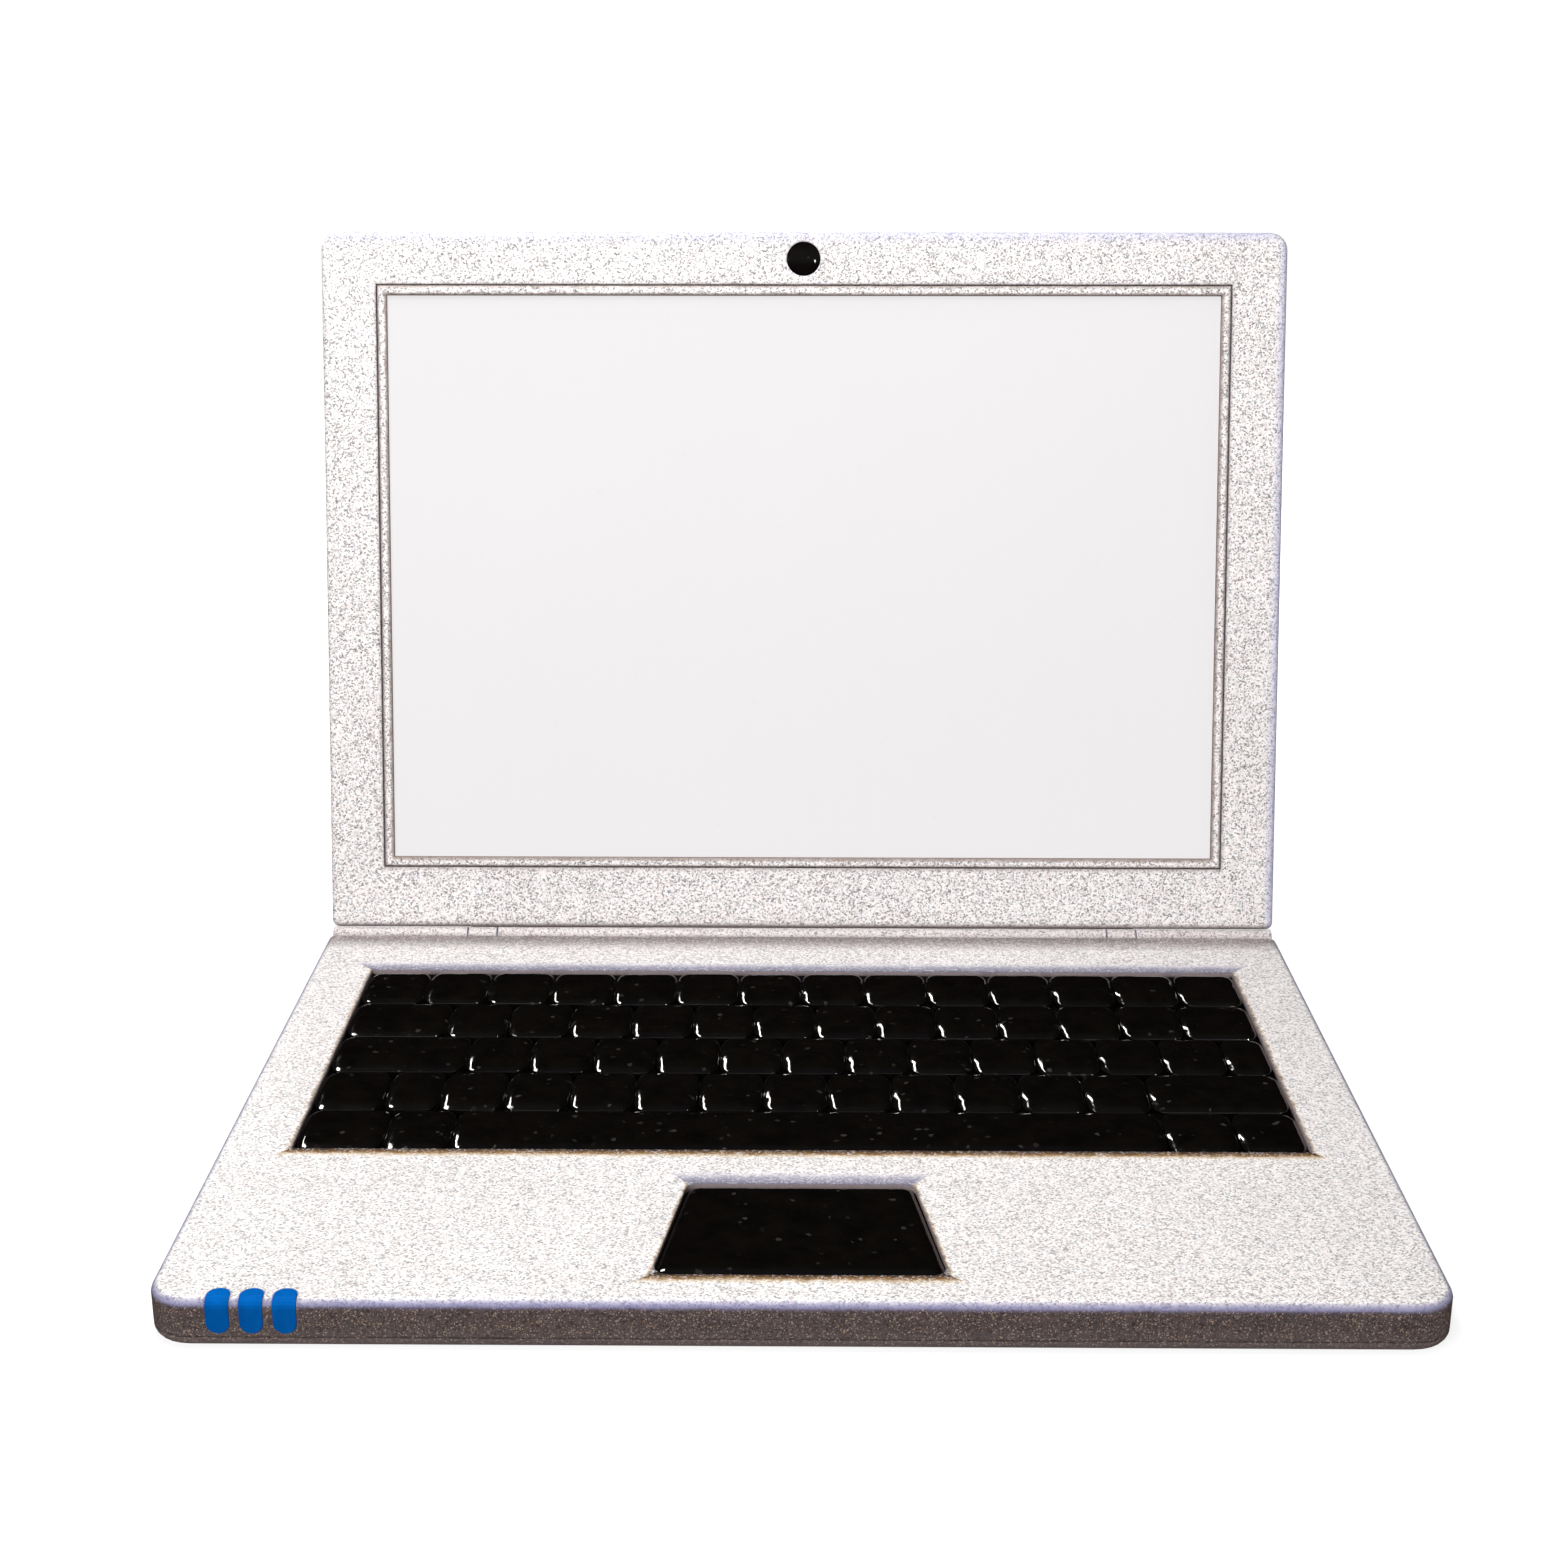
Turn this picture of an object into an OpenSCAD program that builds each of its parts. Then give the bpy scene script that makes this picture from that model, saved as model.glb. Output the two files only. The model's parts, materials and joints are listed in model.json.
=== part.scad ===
// Laptop computer: clamshell body with a 61-key keyboard, click trackpad and friction-hinged lid.
// Millimetres. X runs to the user's right, Y away from the user, Z up; Z = 0 is the desk.

/* [Body] */
// Width of the base and of the lid
body_w = 324; // [322:1:340]
// Depth of the base, front edge to rear edge
base_d = 241; // [240:1:256]
// Height of the base without its feet
base_h = 13.3; // [13.2:0.1:16]
// Radius of the front corners, seen from above
front_corner_r = 11; // [6:0.5:14]
// Radius of the rear corners, seen from above
rear_corner_r = 2.5; // [1:0.5:4]
// Rounding of the edge of the deck
deck_edge_r = 2.4; // [1:0.2:2.8]
// Thickness of the side walls of the top case
case_wall = 2; // [1.6:0.1:2.4]
// Thickness of the deck
deck_t = 1.6; // [1.4:0.1:1.8]
// Height of the rim of the bottom cover
cover_rim_h = 3; // [2.4:0.1:3.1]
// Thickness of the bottom cover inside its rim
cover_t = 1.2; // [1:0.1:1.4]
// Height of the feet below the bottom cover
foot_h = 1; // [0.8:0.1:1.6]
// Radius of the feet
foot_r = 7; // [5:0.5:9]

/* [Lid] */
// Thickness of the lid
lid_t = 6.8; // [6.6:0.1:9]
// Opening angle at which the lid stands at rest
lid_open = 103; // [90:1:130]
// Gap between the closed lid and the deck
lid_gap = 1.6; // [1.6:0.1:2]
// Thickness of the back panel of the lid
lid_back_t = 1.4; // [1.2:0.1:1.5]
// Thickness of the front bezel around the screen
bezel_t = 0.9; // [0.8:0.1:1]
// Height of the side of the bezel, face to parting line
bezel_rim_h = 2; // [1.9:0.1:2.2]
// Radius of the upper corners of the lid
lid_corner_r = 6; // [4:0.5:8]
// Rounding of the back edge of the lid
lid_edge_r = 2.2; // [1:0.2:2.6]

/* [Screen] */
// Border between the picture area and each side of the lid
screen_side = 22; // [18:0.5:28]
// Border between the picture area and the top of the lid
screen_top = 21; // [20:0.5:26]
// Height of the lower edge of the picture above the hinge axis
screen_s = 27; // [26.5:0.5:30]
// Width of the raised trim around the picture
trim_w = 3.2; // [2.4:0.1:3.4]
// Height of the trim above the bezel
trim_proud = 0.5; // [0.3:0.1:0.6]
// Width of the groove between the trim and the bezel
trim_gap = 0.4; // [0.3:0.1:0.6]
// Radius of the camera window
camera_r = 5.6; // [4:0.1:6]

/* [Keyboard] */
// Border between the field of keys and each side of the base
keys_side = 20.5; // [16:0.5:24]
// Border between the field of keys and the rear edge of the base
keys_rear = 36; // [34:0.5:42]
// Distance from the front edge of the base to the field of keys
palm_d = 80; // [78:0.5:82]
// Gap between neighbouring keys
key_gap = 0.7; // [0.5:0.1:1]
// Height of a keycap
key_h = 3; // [2.8:0.1:3.2]
// Height of the keycaps above the deck
key_proud = 0.7; // [0.3:0.1:0.8]
// Travel of a key
key_travel = 1.5; // [1.2:0.1:1.6]

/* [Trackpad] */
// Width of the front edge of the trackpad
pad_front_w = 74; // [66:1:78]
// Width of the rear edge of the trackpad
pad_rear_w = 60; // [54:1:66]
// Depth of the trackpad
pad_d = 46; // [42:1:48]
// Distance from the front edge of the base to the trackpad
pad_front_gap = 14; // [12:0.5:15]
// Height of the trackpad above the deck
pad_proud = 0.4; // [0.2:0.1:0.6]

/* [Status lights] */
// Width of one light
light_w = 5.8; // [4.6:0.2:6.4]
// Spacing of the lights
light_pitch = 8.3; // [7.6:0.1:9]
// Distance from the left side of the base to the middle light
light_x = 27; // [25.5:0.5:29]
// Length of a light over the deck
light_top_l = 5.6; // [4.6:0.2:6]
// Length of a light down the front face
light_front_l = 9; // [7:0.2:9.4]

/* [Hinge] */
// Radius of the hinge barrels
hinge_r = 3; // [2.8:0.1:3.1]
// Radius of the hinge pins
pin_r = 1.5; // [1.2:0.1:1.7]
// Radial clearance of a pin in its barrel
pin_clear = 0.05; // [0.02:0.01:0.08]
// Length of each barrel fixed to the base
base_barrel_l = 46; // [40:1:50]
// Length of each barrel fixed to the lid
lid_barrel_l = 9.6; // [8:0.2:12]

/* [Hidden] */
$fn = 48;

// Finishes
silver = [0.86, 0.85, 0.87];
key_black = [0.04, 0.04, 0.045];
board_green = [0.1, 0.32, 0.2];
steel = [0.6, 0.61, 0.63];
copper = [0.72, 0.42, 0.25];
dark_plastic = [0.16, 0.16, 0.17];

// Clearances
seat = 0.3;          // between parts that are screwed or clipped together
slide_gap = 0.5;     // round a moving key or trackpad
hinge_gap = 0.4;     // round and between the hinge barrels
joined = 0.01;       // overlap of two shapes that make one piece

// Levels of the base, from the desk up
deck_z = foot_h + base_h;
deck_low_z = deck_z - deck_t;
part_z = foot_h + cover_rim_h;
floor_z = foot_h + cover_t;

// Plan of the base
front_y = -base_d / 2;
rear_y = base_d / 2;
side_x = body_w / 2 - case_wall;
axis_y = rear_y - hinge_r;
axis_drop = 1.2;
axis_z = deck_z - axis_drop;
channel_r = hinge_r + hinge_gap;
channel_y = axis_y - channel_r;
channel_z = axis_z - channel_r;
inner_rear_y = channel_y - case_wall;
inner_front_y = front_y + case_wall;

// Keyboard: row by row from the rear, the widths of the keys in key units
KEY_UNITS = 14;
keys_w = body_w - 2 * keys_side;
key_unit = keys_w / KEY_UNITS;
LETTERS = 12;
letter_u = 0.945;
lower_u = 0.93;
ROWS = [
    [for (i = [1:KEY_UNITS]) 1],
    concat([1.54], [for (i = [1:LETTERS]) letter_u], [1.12]),
    concat([2], [for (i = [1:LETTERS]) letter_u], [0.66]),
    concat([1, 0.8], [for (i = [2:LETTERS]) lower_u], [1.97]),
    [1.2, 0.93, 9.95, 1, 0.92]
];
narrow_key_w = min([for (row = ROWS, u = row) u]) * key_unit - key_gap;
keys_front_y = front_y + palm_d;
keys_rear_y = rear_y - keys_rear;
row_d = (keys_rear_y - keys_front_y) / len(ROWS);
key_top_z = deck_z + key_proud;
key_low_z = key_top_z - key_h;
key_wall = 1;
key_roof = 1.2;
key_draft = 0.5;
key_round = 0.9;
sheet_t = 0.3;
plate_t = 1;
plate_flange = 1.2;
plate_top_z = key_low_z - key_travel - sheet_t - seat;
plate_low_z = plate_top_z - plate_t;
sheet_top_z = plate_top_z + sheet_t;
roof_low_z = key_top_z - key_roof;
well_w = keys_w + 2 * slide_gap - key_gap;
well_front_y = keys_front_y - slide_gap + key_gap / 2;
well_rear_y = keys_rear_y + slide_gap - key_gap / 2;

// Scissor links under each key: two crossed frames that lie flat when the key is down
link_t = 0.6;
link_bar = 0.8;
link_clear = 0.05;
link_side_gap = 0.3;
link_l = 0.56 * row_d;
outer_link_w = narrow_key_w - 2 * (key_wall + key_draft + link_side_gap);
inner_link_w = outer_link_w - 2 * (link_bar + link_side_gap);
link_angle = asin(key_travel / link_l);
link_top_z = sheet_top_z + 2 * link_clear + link_t + key_travel;
link_mid_z = (sheet_top_z + link_top_z) / 2;
lug_y = link_l / 2 - link_bar;
lug_t = 1;
stem_r = 1.3;
dome_r = inner_link_w / 2 - link_bar - link_side_gap;
dome_top_r = 0.6 * dome_r;
WIDE_KEY_U = 5;

// Trackpad
pad_front_y = front_y + pad_front_gap;
pad_rear_y = pad_front_y + pad_d;
pad_corner_r = 3.5;
pad_t = 1.6;
pad_low_z = deck_z + pad_proud - pad_t;
pad_board_t = 0.8;
pad_board_z = pad_low_z - pad_board_t;
pad_click = 0.5;
pad_frame_t = 0.8;
pad_frame_z = pad_board_z - pad_click - 2.2;
pad_frame_side = 8;

// Lid, described as if closed: Y towards the user is negative, Z away from the deck
face_w = axis_drop + lid_gap;
back_w = face_w + lid_t;
lid_part_w = face_w + bezel_rim_h;
lid_inner_w = back_w - lid_back_t;
lid_wall = 2;
lid_low_s = 2.4;
lid_top_s = axis_y - front_y;
lid_low_corner_r = 2.5;
bezel_edge_r = bezel_rim_h - 0.2;
glass_t = 0.8;
glass_margin = 2.4;
glass_w = face_w + bezel_t + 0.2;
chassis_margin = 3.2;
chassis_t = 2.4;
screen_w = body_w - 2 * screen_side;
screen_h = lid_top_s - screen_top - screen_s;
screen_mid_s = screen_s + screen_h / 2;
trim_top_s = screen_s + screen_h + trim_w;
camera_s = (trim_top_s + lid_top_s) / 2;

// Hinges
barrel_end = body_w / 2 - 1.5;
base_barrel_x = barrel_end - base_barrel_l;
lid_barrel_x = base_barrel_x - hinge_gap - lid_barrel_l;
hinge_cover_x = lid_barrel_x - hinge_gap;
pin_l = 30;
leaf_t = 1.4;
leaf_l = 22;
leaf_x = base_barrel_x + 4;
leaf_w = 32;
bracket_s = 22;
bracket_x = 40;

// Screws
screw_r = 1.2;
screw_head_r = 2.2;
screw_head_t = 1.2;
lid_screw_head_t = 0.8;
thread_gap = 0.05;
boss_r = 3;

// ---- Shared shapes ----

function unit_vec(v) = v / norm(v);

// Points of the arc that rounds corner p between its neighbours a and b
function corner_arc(a, p, b, r, steps) =
    let (u = unit_vec(a - p), v = unit_vec(b - p), half = acos(u * v) / 2)
    let (c = p + unit_vec(u + v) * r / sin(half), s = p + u * r / tan(half) - c)
    let (turn = (u.x * v.y - u.y * v.x < 0 ? 1 : -1) * (180 - 2 * half))
    [for (i = [0:steps]) let (t = turn * i / steps)
        c + [s.x * cos(t) - s.y * sin(t), s.x * sin(t) + s.y * cos(t)]];

// Outline through corners [x, y], each rounded by its own radius
function round_outline(pts, radii, steps = 7) = [
    for (i = [0:len(pts) - 1])
        each corner_arc(pts[(i + len(pts) - 1) % len(pts)], pts[i], pts[(i + 1) % len(pts)],
            radii[i], steps)
];

// Rectangle from y0 to y1, counter-clockwise, with its own front and rear corner radii
function plan(w, y0, y1, r0, r1) = round_outline(
    [[-w / 2, y0], [w / 2, y0], [w / 2, y1], [-w / 2, y1]], [r0, r0, r1, r1]);

// Prism with a plan from y0 to y1, drawn in on every side by inset
module inset_slab(w, y0, y1, z0, z1, r0, r1, inset) {
    translate([0, 0, z0]) linear_extrude(z1 - z0) polygon(
        plan(w - 2 * inset, y0 + inset, y1 - inset, max(r0 - inset, 0.2), max(r1 - inset, 0.2)));
}

// Angles of the layers that make a rounded edge of radius r
function edge_steps(r) = r > 0 ? [0:22.5:90] : [90];

// Slab with a plan from y0 to y1, whose top and bottom edges are rounded
module soft_slab(w, y0, y1, z0, z1, r0, r1, top_r, bottom_r) {
    hull() {
        for (a = edge_steps(top_r))
            inset_slab(w, y0, y1, z0 + bottom_r, z1 - top_r * (1 - sin(a)), r0, r1, top_r * (1 - cos(a)));
        for (a = edge_steps(bottom_r))
            inset_slab(w, y0, y1, z0 + bottom_r * (1 - sin(a)), z1 - top_r, r0, r1, bottom_r * (1 - cos(a)));
    }
}

// Box from one corner to the opposite one
module block(low, high) {
    translate(low) cube(high - low);
}

// Round bar along X
module x_bar(x0, x1, r) {
    translate([x0, 0, 0]) rotate([0, 90, 0]) cylinder(r = r, h = x1 - x0);
}

// Upright slot with round ends, l long along Y
module slot(w, l, h) {
    linear_extrude(h) union() {
        square([w, l - w], center = true);
        for (side = [-1, 1])
            translate([0, side * (l - w) / 2]) circle(r = w / 2);
    }
}

// Screw with its cross-recessed head down, and its shaft l long above the head
module screw(head_t, l) {
    cross_l = 2.6;
    cross_w = 0.6;
    cross_depth = 0.35;
    difference() {
        union() {
            cylinder(r = screw_head_r, h = head_t);
            cylinder(r = screw_r, h = head_t + l);
        }
        for (turn = [0, 90])
            rotate(turn) translate([-cross_l / 2, -cross_w / 2, -1])
                cube([cross_l, cross_w, 1 + cross_depth]);
    }
}

// Puts a lid piece, modelled as closed about the hinge axis, at the opening angle
module open_lid() {
    translate([0, axis_y, axis_z]) rotate([-lid_open, 0, 0]) children();
}

// Hollow from y0 to y1 whose corners follow an outer corner of radius r0 or r1, one wall further in
module hollow(half_w, y0, y1, z0, z1, r0, r1, wall) {
    translate([0, 0, z0]) linear_extrude(z1 - z0)
        polygon(plan(2 * half_w, y0, y1, max(r0 - wall, 0.5), max(r1 - wall, 0.5)));
}

// Cross-section of a lid piece in [height above the axis, depth behind it], drawn from x0 to x1
module lid_profile(points, x0, x1, g = 0) {
    translate([x0, 0, 0]) rotate([90, 0, 90])
        linear_extrude(x1 - x0) offset(delta = g) polygon([for (p = points) [-p[0], p[1]]]);
}

// ---- Base ----

// Outer form of the whole base, grown by g
module base_form(g = 0) {
    soft_slab(body_w + 2 * g, front_y - g, rear_y + g, part_z - (g > 0 ? g : 0), deck_z + g,
        front_corner_r, rear_corner_r, deck_edge_r, 0);
}

// Space of the hinge barrels along the rear edge, open upwards and rearwards
module hinge_channel() {
    translate([0, axis_y, axis_z]) {
        x_bar(-body_w, body_w, channel_r);
        block([-body_w, -channel_r, 0], [body_w, channel_r + 10, deck_z]);
        block([-body_w, 0, -channel_r], [body_w, channel_r + 10, deck_z]);
    }
}

// Hollow of the top case, under the deck and behind the walls
module case_hollow() {
    hollow(side_x, inner_front_y, inner_rear_y, part_z - 1, deck_low_z, front_corner_r, 0, case_wall);
    hollow(side_x, inner_front_y, rear_y - case_wall, part_z - 1, channel_z - deck_t, front_corner_r,
        rear_corner_r, case_wall);
}

// Trapezoid of the trackpad, grown by g
function pad_outline(g) = round_outline([
    [-pad_front_w / 2 - g, pad_front_y - g], [pad_front_w / 2 + g, pad_front_y - g],
    [pad_rear_w / 2 + g, pad_rear_y + g], [-pad_rear_w / 2 - g, pad_rear_y + g]],
    [for (i = [1:4]) pad_corner_r + g]);

// Bars of the status lights, grown by g, before they are trimmed to the base's outer form
module light_bars(g) {
    top_r = light_w / 2 + g;
    for (i = [-1:1])
        translate([-body_w / 2 + light_x + i * light_pitch, front_y, 0])
            intersection() {
                translate([0, 0, deck_z - light_front_l - g]) linear_extrude(light_front_l + 5) union() {
                    translate([-top_r, -5]) square([2 * top_r, 5 + light_top_l - light_w / 2]);
                    translate([0, light_top_l - light_w / 2]) circle(r = top_r);
                }
                translate([0, light_top_l + 5, 0]) rotate([90, 0, 0])
                    linear_extrude(light_top_l + 15) union() {
                    translate([-top_r, deck_z - light_front_l + light_w / 2])
                        square([2 * top_r, light_front_l + 5]);
                    translate([0, deck_z - light_front_l + light_w / 2]) circle(r = top_r);
                }
            }
}

// Places of the screws of the bottom cover
boss_inset = 6.5;
COVER_BOSSES = [
    for (sx = [-1, 1]) each [
        [sx * (side_x - boss_inset), inner_front_y + boss_inset],
        [sx * (side_x - boss_inset), keys_front_y - 4.5],
        [sx * (side_x - boss_inset), keys_rear_y - 12.5],
        [sx * side_x * 0.375, inner_rear_y - boss_inset]
    ]
];

// Sockets in the sides: heights and places along Y
port_z = part_z + 2.8;
jack_z = port_z + 0.8;
jack_y = inner_rear_y - 14;
keys_mid_y = (keys_front_y + keys_rear_y) / 2;
usb_left_y = [keys_mid_y - 14, keys_mid_y + 2];
usb_right_y = [keys_mid_y + 2];
audio_y = keys_mid_y - 18;
jack_bore_r = 2.75;
audio_bore_r = 1.8;
port_sleeve = 0.7;
usb_w = 9;
usb_h = 3.3;

// Exhaust slots in the rear wall, in front of the heat sink
fan_half = 28;
fan_x = -side_x + 20 + fan_half;
exhaust_n = 13;
exhaust_pitch = 3.8;
exhaust_w = 2.2;

module exhaust_slots() {
    for (i = [0:exhaust_n - 1])
        translate([fan_x + (i - (exhaust_n - 1) / 2) * exhaust_pitch, rear_y + 1, part_z + 2.6])
            rotate([90, 0, 0]) slot(exhaust_w, 3.6, case_wall + 2);
}

module hinge_leaf_slots() {
    for (side = [-1, 1])
        mirror([side < 0 ? 1 : 0, 0, 0])
            block([leaf_x - seat, inner_rear_y - 1, deck_low_z - leaf_t - seat],
                [leaf_x + leaf_w + seat, axis_y, deck_low_z]);
}

module side_port_holes() {
    translate([-side_x, jack_y, jack_z]) x_bar(-case_wall - 1, 1, jack_bore_r + port_sleeve);
    translate([side_x, audio_y, port_z]) x_bar(-1, case_wall + 1, audio_bore_r + port_sleeve);
    for (y = usb_left_y)
        translate([-side_x, y, port_z]) usb_outline_x(-case_wall - 1, 1, port_sleeve);
    for (y = usb_right_y)
        translate([side_x, y, port_z]) usb_outline_x(-1, case_wall + 1, port_sleeve);
}

// Round-ended USB outline along X, grown by g
module usb_outline_x(x0, x1, g) {
    translate([x0, 0, 0]) rotate([90, 0, 90]) linear_extrude(x1 - x0) union() {
        square([usb_w - usb_h, usb_h + 2 * g], center = true);
        for (side = [-1, 1])
            translate([side * (usb_w - usb_h) / 2, 0]) circle(r = usb_h / 2 + g);
    }
}

module hinge_screw_places() {
    for (side = [-1, 1], i = [0:2])
        translate([side * (leaf_x + 5 + i * 11), inner_rear_y - 6 - (i % 2) * 8, 0]) children();
}

module top_case() {
    color(silver) difference() {
        union() {
            difference() {
                base_form();
                case_hollow();
            }
            for (p = COVER_BOSSES)
                translate([p.x, p.y, floor_z + seat])
                    cylinder(r = boss_r, h = deck_low_z - floor_z - seat + joined);
        }
        hinge_channel();
        block([-well_w / 2, well_front_y, deck_low_z - 1], [well_w / 2, well_rear_y, deck_z + 1]);
        translate([0, 0, deck_low_z - 1]) linear_extrude(deck_t + 2) polygon(pad_outline(slide_gap));
        light_bars(thread_gap);
        for (p = COVER_BOSSES)
            translate([p.x, p.y, floor_z]) cylinder(r = screw_r + thread_gap, h = 7);
        exhaust_slots();
        hinge_leaf_slots();
        hinge_screw_places() translate([0, 0, deck_low_z - 1]) cylinder(r = screw_r + thread_gap, h = 1.9);
        side_port_holes();
    }
}

// Feet: one near each corner, and one in the middle that keeps the thin cover from sagging
FEET = concat([[0, 0]], [for (sx = [-1, 1], sy = [-1, 1]) [sx * (body_w / 2 - 17), sy * (base_d / 2 - 15)]]);
foot_sink = 0.5;

module bottom_cover() {
    bottom_r = cover_rim_h - 0.3;
    vent_l = 22;
    grille_n = 5;
    grille_pitch = 4;
    color(silver) difference() {
        soft_slab(body_w, front_y, rear_y, foot_h, part_z, front_corner_r, rear_corner_r, 0, bottom_r);
        hollow(side_x, inner_front_y, rear_y - case_wall, floor_z, part_z + 1, front_corner_r,
            rear_corner_r, case_wall);
        for (p = COVER_BOSSES)
            translate([p.x, p.y, foot_h - 1]) {
                cylinder(r = screw_r + seat, h = cover_rim_h + 2);
                cylinder(r = screw_head_r + seat, h = 1 + cover_t / 2);
            }
        for (p = FEET)
            translate([p.x, p.y, foot_h - 1]) cylinder(r = foot_r + thread_gap, h = 1 + foot_sink);
        for (row = [-1, 1], i = [-3:3])
            translate([fan_x + i * 6, fan_y + row * 13, foot_h - 1]) slot(2.4, vent_l, cover_t + 2);
        for (side = [-1, 1], i = [0:grille_n - 1]) {
            y = speaker_mid_y + (i - (grille_n - 1) / 2) * grille_pitch;
            translate([side * speaker_mid_x, y, foot_h - 1]) rotate(90) slot(1.6, 16, cover_t + 2);
        }
    }
}

module cover_screws() {
    color(steel) for (p = COVER_BOSSES)
        translate([p.x, p.y, foot_h + 0.1]) screw(cover_t / 2 - 0.1, 5.6);
}

module rubber_feet() {
    color([0.12, 0.12, 0.12]) for (p = FEET)
        translate([p.x, p.y, 0]) cylinder(r = foot_r, h = foot_h + foot_sink);
}

module status_lights() {
    light_proud = 0.25;
    color([0.02, 0.4, 0.78]) intersection() {
        base_form(light_proud);
        light_bars(0);
    }
}

module status_board() {
    board_l = 3 * light_pitch + 6;
    back_y = front_y + light_top_l + seat;
    color(board_green)
        block([-body_w / 2 + light_x - board_l / 2, back_y, deck_low_z - 5],
            [-body_w / 2 + light_x + board_l / 2, back_y + 1, deck_low_z]);
}

// ---- Keyboard ----

function total(v, n) = n == 0 ? 0 : v[n - 1] + total(v, n - 1);
function key_mid_x(row, i) = -keys_w / 2 + key_unit * (total(ROWS[row], i) + ROWS[row][i] / 2);
function key_mid_y(row) = keys_rear_y - (row + 0.5) * row_d;

// Profile of a keycap of width w: drafted sides and rounded shoulders
function cap_profile(w) =
    let (top = w / 2 - key_draft)
    concat([[-w / 2, 0], [w / 2, 0]],
        [for (a = [0:30:90]) [top - key_round * (1 - cos(a)), key_h - key_round * (1 - sin(a))]],
        [for (a = [90:-30:0]) [-top + key_round * (1 - cos(a)), key_h - key_round * (1 - sin(a))]]);

// Places along a key, u key units wide, of its scissors
function link_places(u) = u > WIDE_KEY_U ? [-u, u] * key_unit * 0.3 : [0];

// Cap with a lug over each raised end of its scissors and a stem over its dome
module keycap(w, d, places) {
    lug_low = link_top_z - key_low_z;
    for (x = places, side = [-1, 1])
        block([x - inner_link_w / 2, side * lug_y - lug_t / 2, lug_low],
            [x + inner_link_w / 2, side * lug_y + lug_t / 2, key_h - key_roof + joined]);
    translate([0, 0, lug_low]) cylinder(r = stem_r, h = key_h - key_roof - lug_low + joined);
    difference() {
        intersection() {
            rotate([90, 0, 0]) linear_extrude(d, center = true) polygon(cap_profile(w));
            rotate([90, 0, 90]) linear_extrude(w, center = true) polygon(cap_profile(d));
        }
        block([-w / 2 + key_wall + key_draft, -d / 2 + key_wall + key_draft, -1],
            [w / 2 - key_wall - key_draft, d / 2 - key_wall - key_draft, key_h - key_roof]);
    }
}

// Keys number first to last of a row
module keys(row, first, last) {
    color(key_black) for (i = [first:last])
        translate([key_mid_x(row, i), key_mid_y(row), key_low_z])
            keycap(ROWS[row][i] * key_unit - key_gap, row_d - key_gap, link_places(ROWS[row][i]));
}

module keyboard_plate() {
    low = [-well_w / 2 - seat, well_front_y - seat];
    high = [well_w / 2 + seat, well_rear_y + seat];
    color(steel) difference() {
        block([low.x - plate_flange, low.y - plate_flange, plate_low_z],
            [high.x + plate_flange, high.y + plate_flange, deck_low_z]);
        block([low.x, low.y, plate_top_z], [high.x, high.y, deck_low_z + 1]);
    }
}

module dome_sheet() {
    color([0.8, 0.8, 0.78]) union() {
        block([-well_w / 2, well_front_y, plate_top_z], [well_w / 2, well_rear_y, sheet_top_z]);
        for (row = [0:len(ROWS) - 1], i = [0:len(ROWS[row]) - 1])
            translate([key_mid_x(row, i), key_mid_y(row), sheet_top_z - sheet_t / 2])
                cylinder(r1 = dome_r, r2 = dome_top_r,
                    h = link_top_z - sheet_top_z + sheet_t / 2 - link_clear);
    }
}

// One link: an open frame that leans at the given angle
module scissor_link(w, angle) {
    rotate([angle, 0, 0]) difference() {
        cube([w, link_l, link_t], center = true);
        cube([w - 2 * link_bar, link_l - 2 * link_bar, link_t + 1], center = true);
    }
}

module key_scissors() {
    color([0.75, 0.75, 0.72])
        for (row = [0:len(ROWS) - 1], i = [0:len(ROWS[row]) - 1], x = link_places(ROWS[row][i]))
            translate([key_mid_x(row, i) + x, key_mid_y(row), link_mid_z]) {
                scissor_link(outer_link_w, link_angle);
                scissor_link(inner_link_w, -link_angle);
            }
}

// ---- Trackpad ----

module trackpad() {
    rim = 0.5;
    color(key_black) union() {
        translate([0, 0, pad_low_z]) linear_extrude(pad_t - rim) polygon(pad_outline(0));
        translate([0, 0, pad_low_z + pad_t - rim - joined])
            linear_extrude(rim + joined) polygon(pad_outline(-rim));
        block([-pad_rear_w / 2 + 4, pad_front_y + 6, pad_board_z],
            [pad_rear_w / 2 - 4, pad_rear_y - 3, pad_low_z + joined]);
    }
}

module trackpad_frame() {
    half_w = pad_front_w / 2 + pad_frame_side;
    low = [-half_w, pad_front_y - 3, pad_frame_z];
    high = [half_w, pad_rear_y + 3, deck_low_z];
    rail = 1.2;
    color(steel) difference() {
        block(low, high);
        block(low + [rail, -1, pad_frame_t], [high.x - rail, high.y + 1, high.z + 1]);
        block([low.x + 14, pad_front_y + 16, low.z - 1], [high.x - 14, pad_rear_y - 10, high.z + 1]);
    }
    color(steel) block([-pad_rear_w / 2 + 4, pad_rear_y - 6, pad_frame_z + pad_frame_t - joined],
        [pad_rear_w / 2 - 4, pad_rear_y - 4, pad_board_z - thread_gap]);
}

module trackpad_switch() {
    switch_w = 6;
    button_h = pad_board_z - pad_click - thread_gap - pad_frame_z - pad_frame_t;
    color(dark_plastic) translate([0, pad_front_y + 11, pad_frame_z + pad_frame_t]) union() {
        block([-switch_w / 2, -switch_w / 2, 0], [switch_w / 2, switch_w / 2, button_h - 0.4]);
        cylinder(r = 1.6, h = button_h);
    }
}

// ---- Electronics ----

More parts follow.
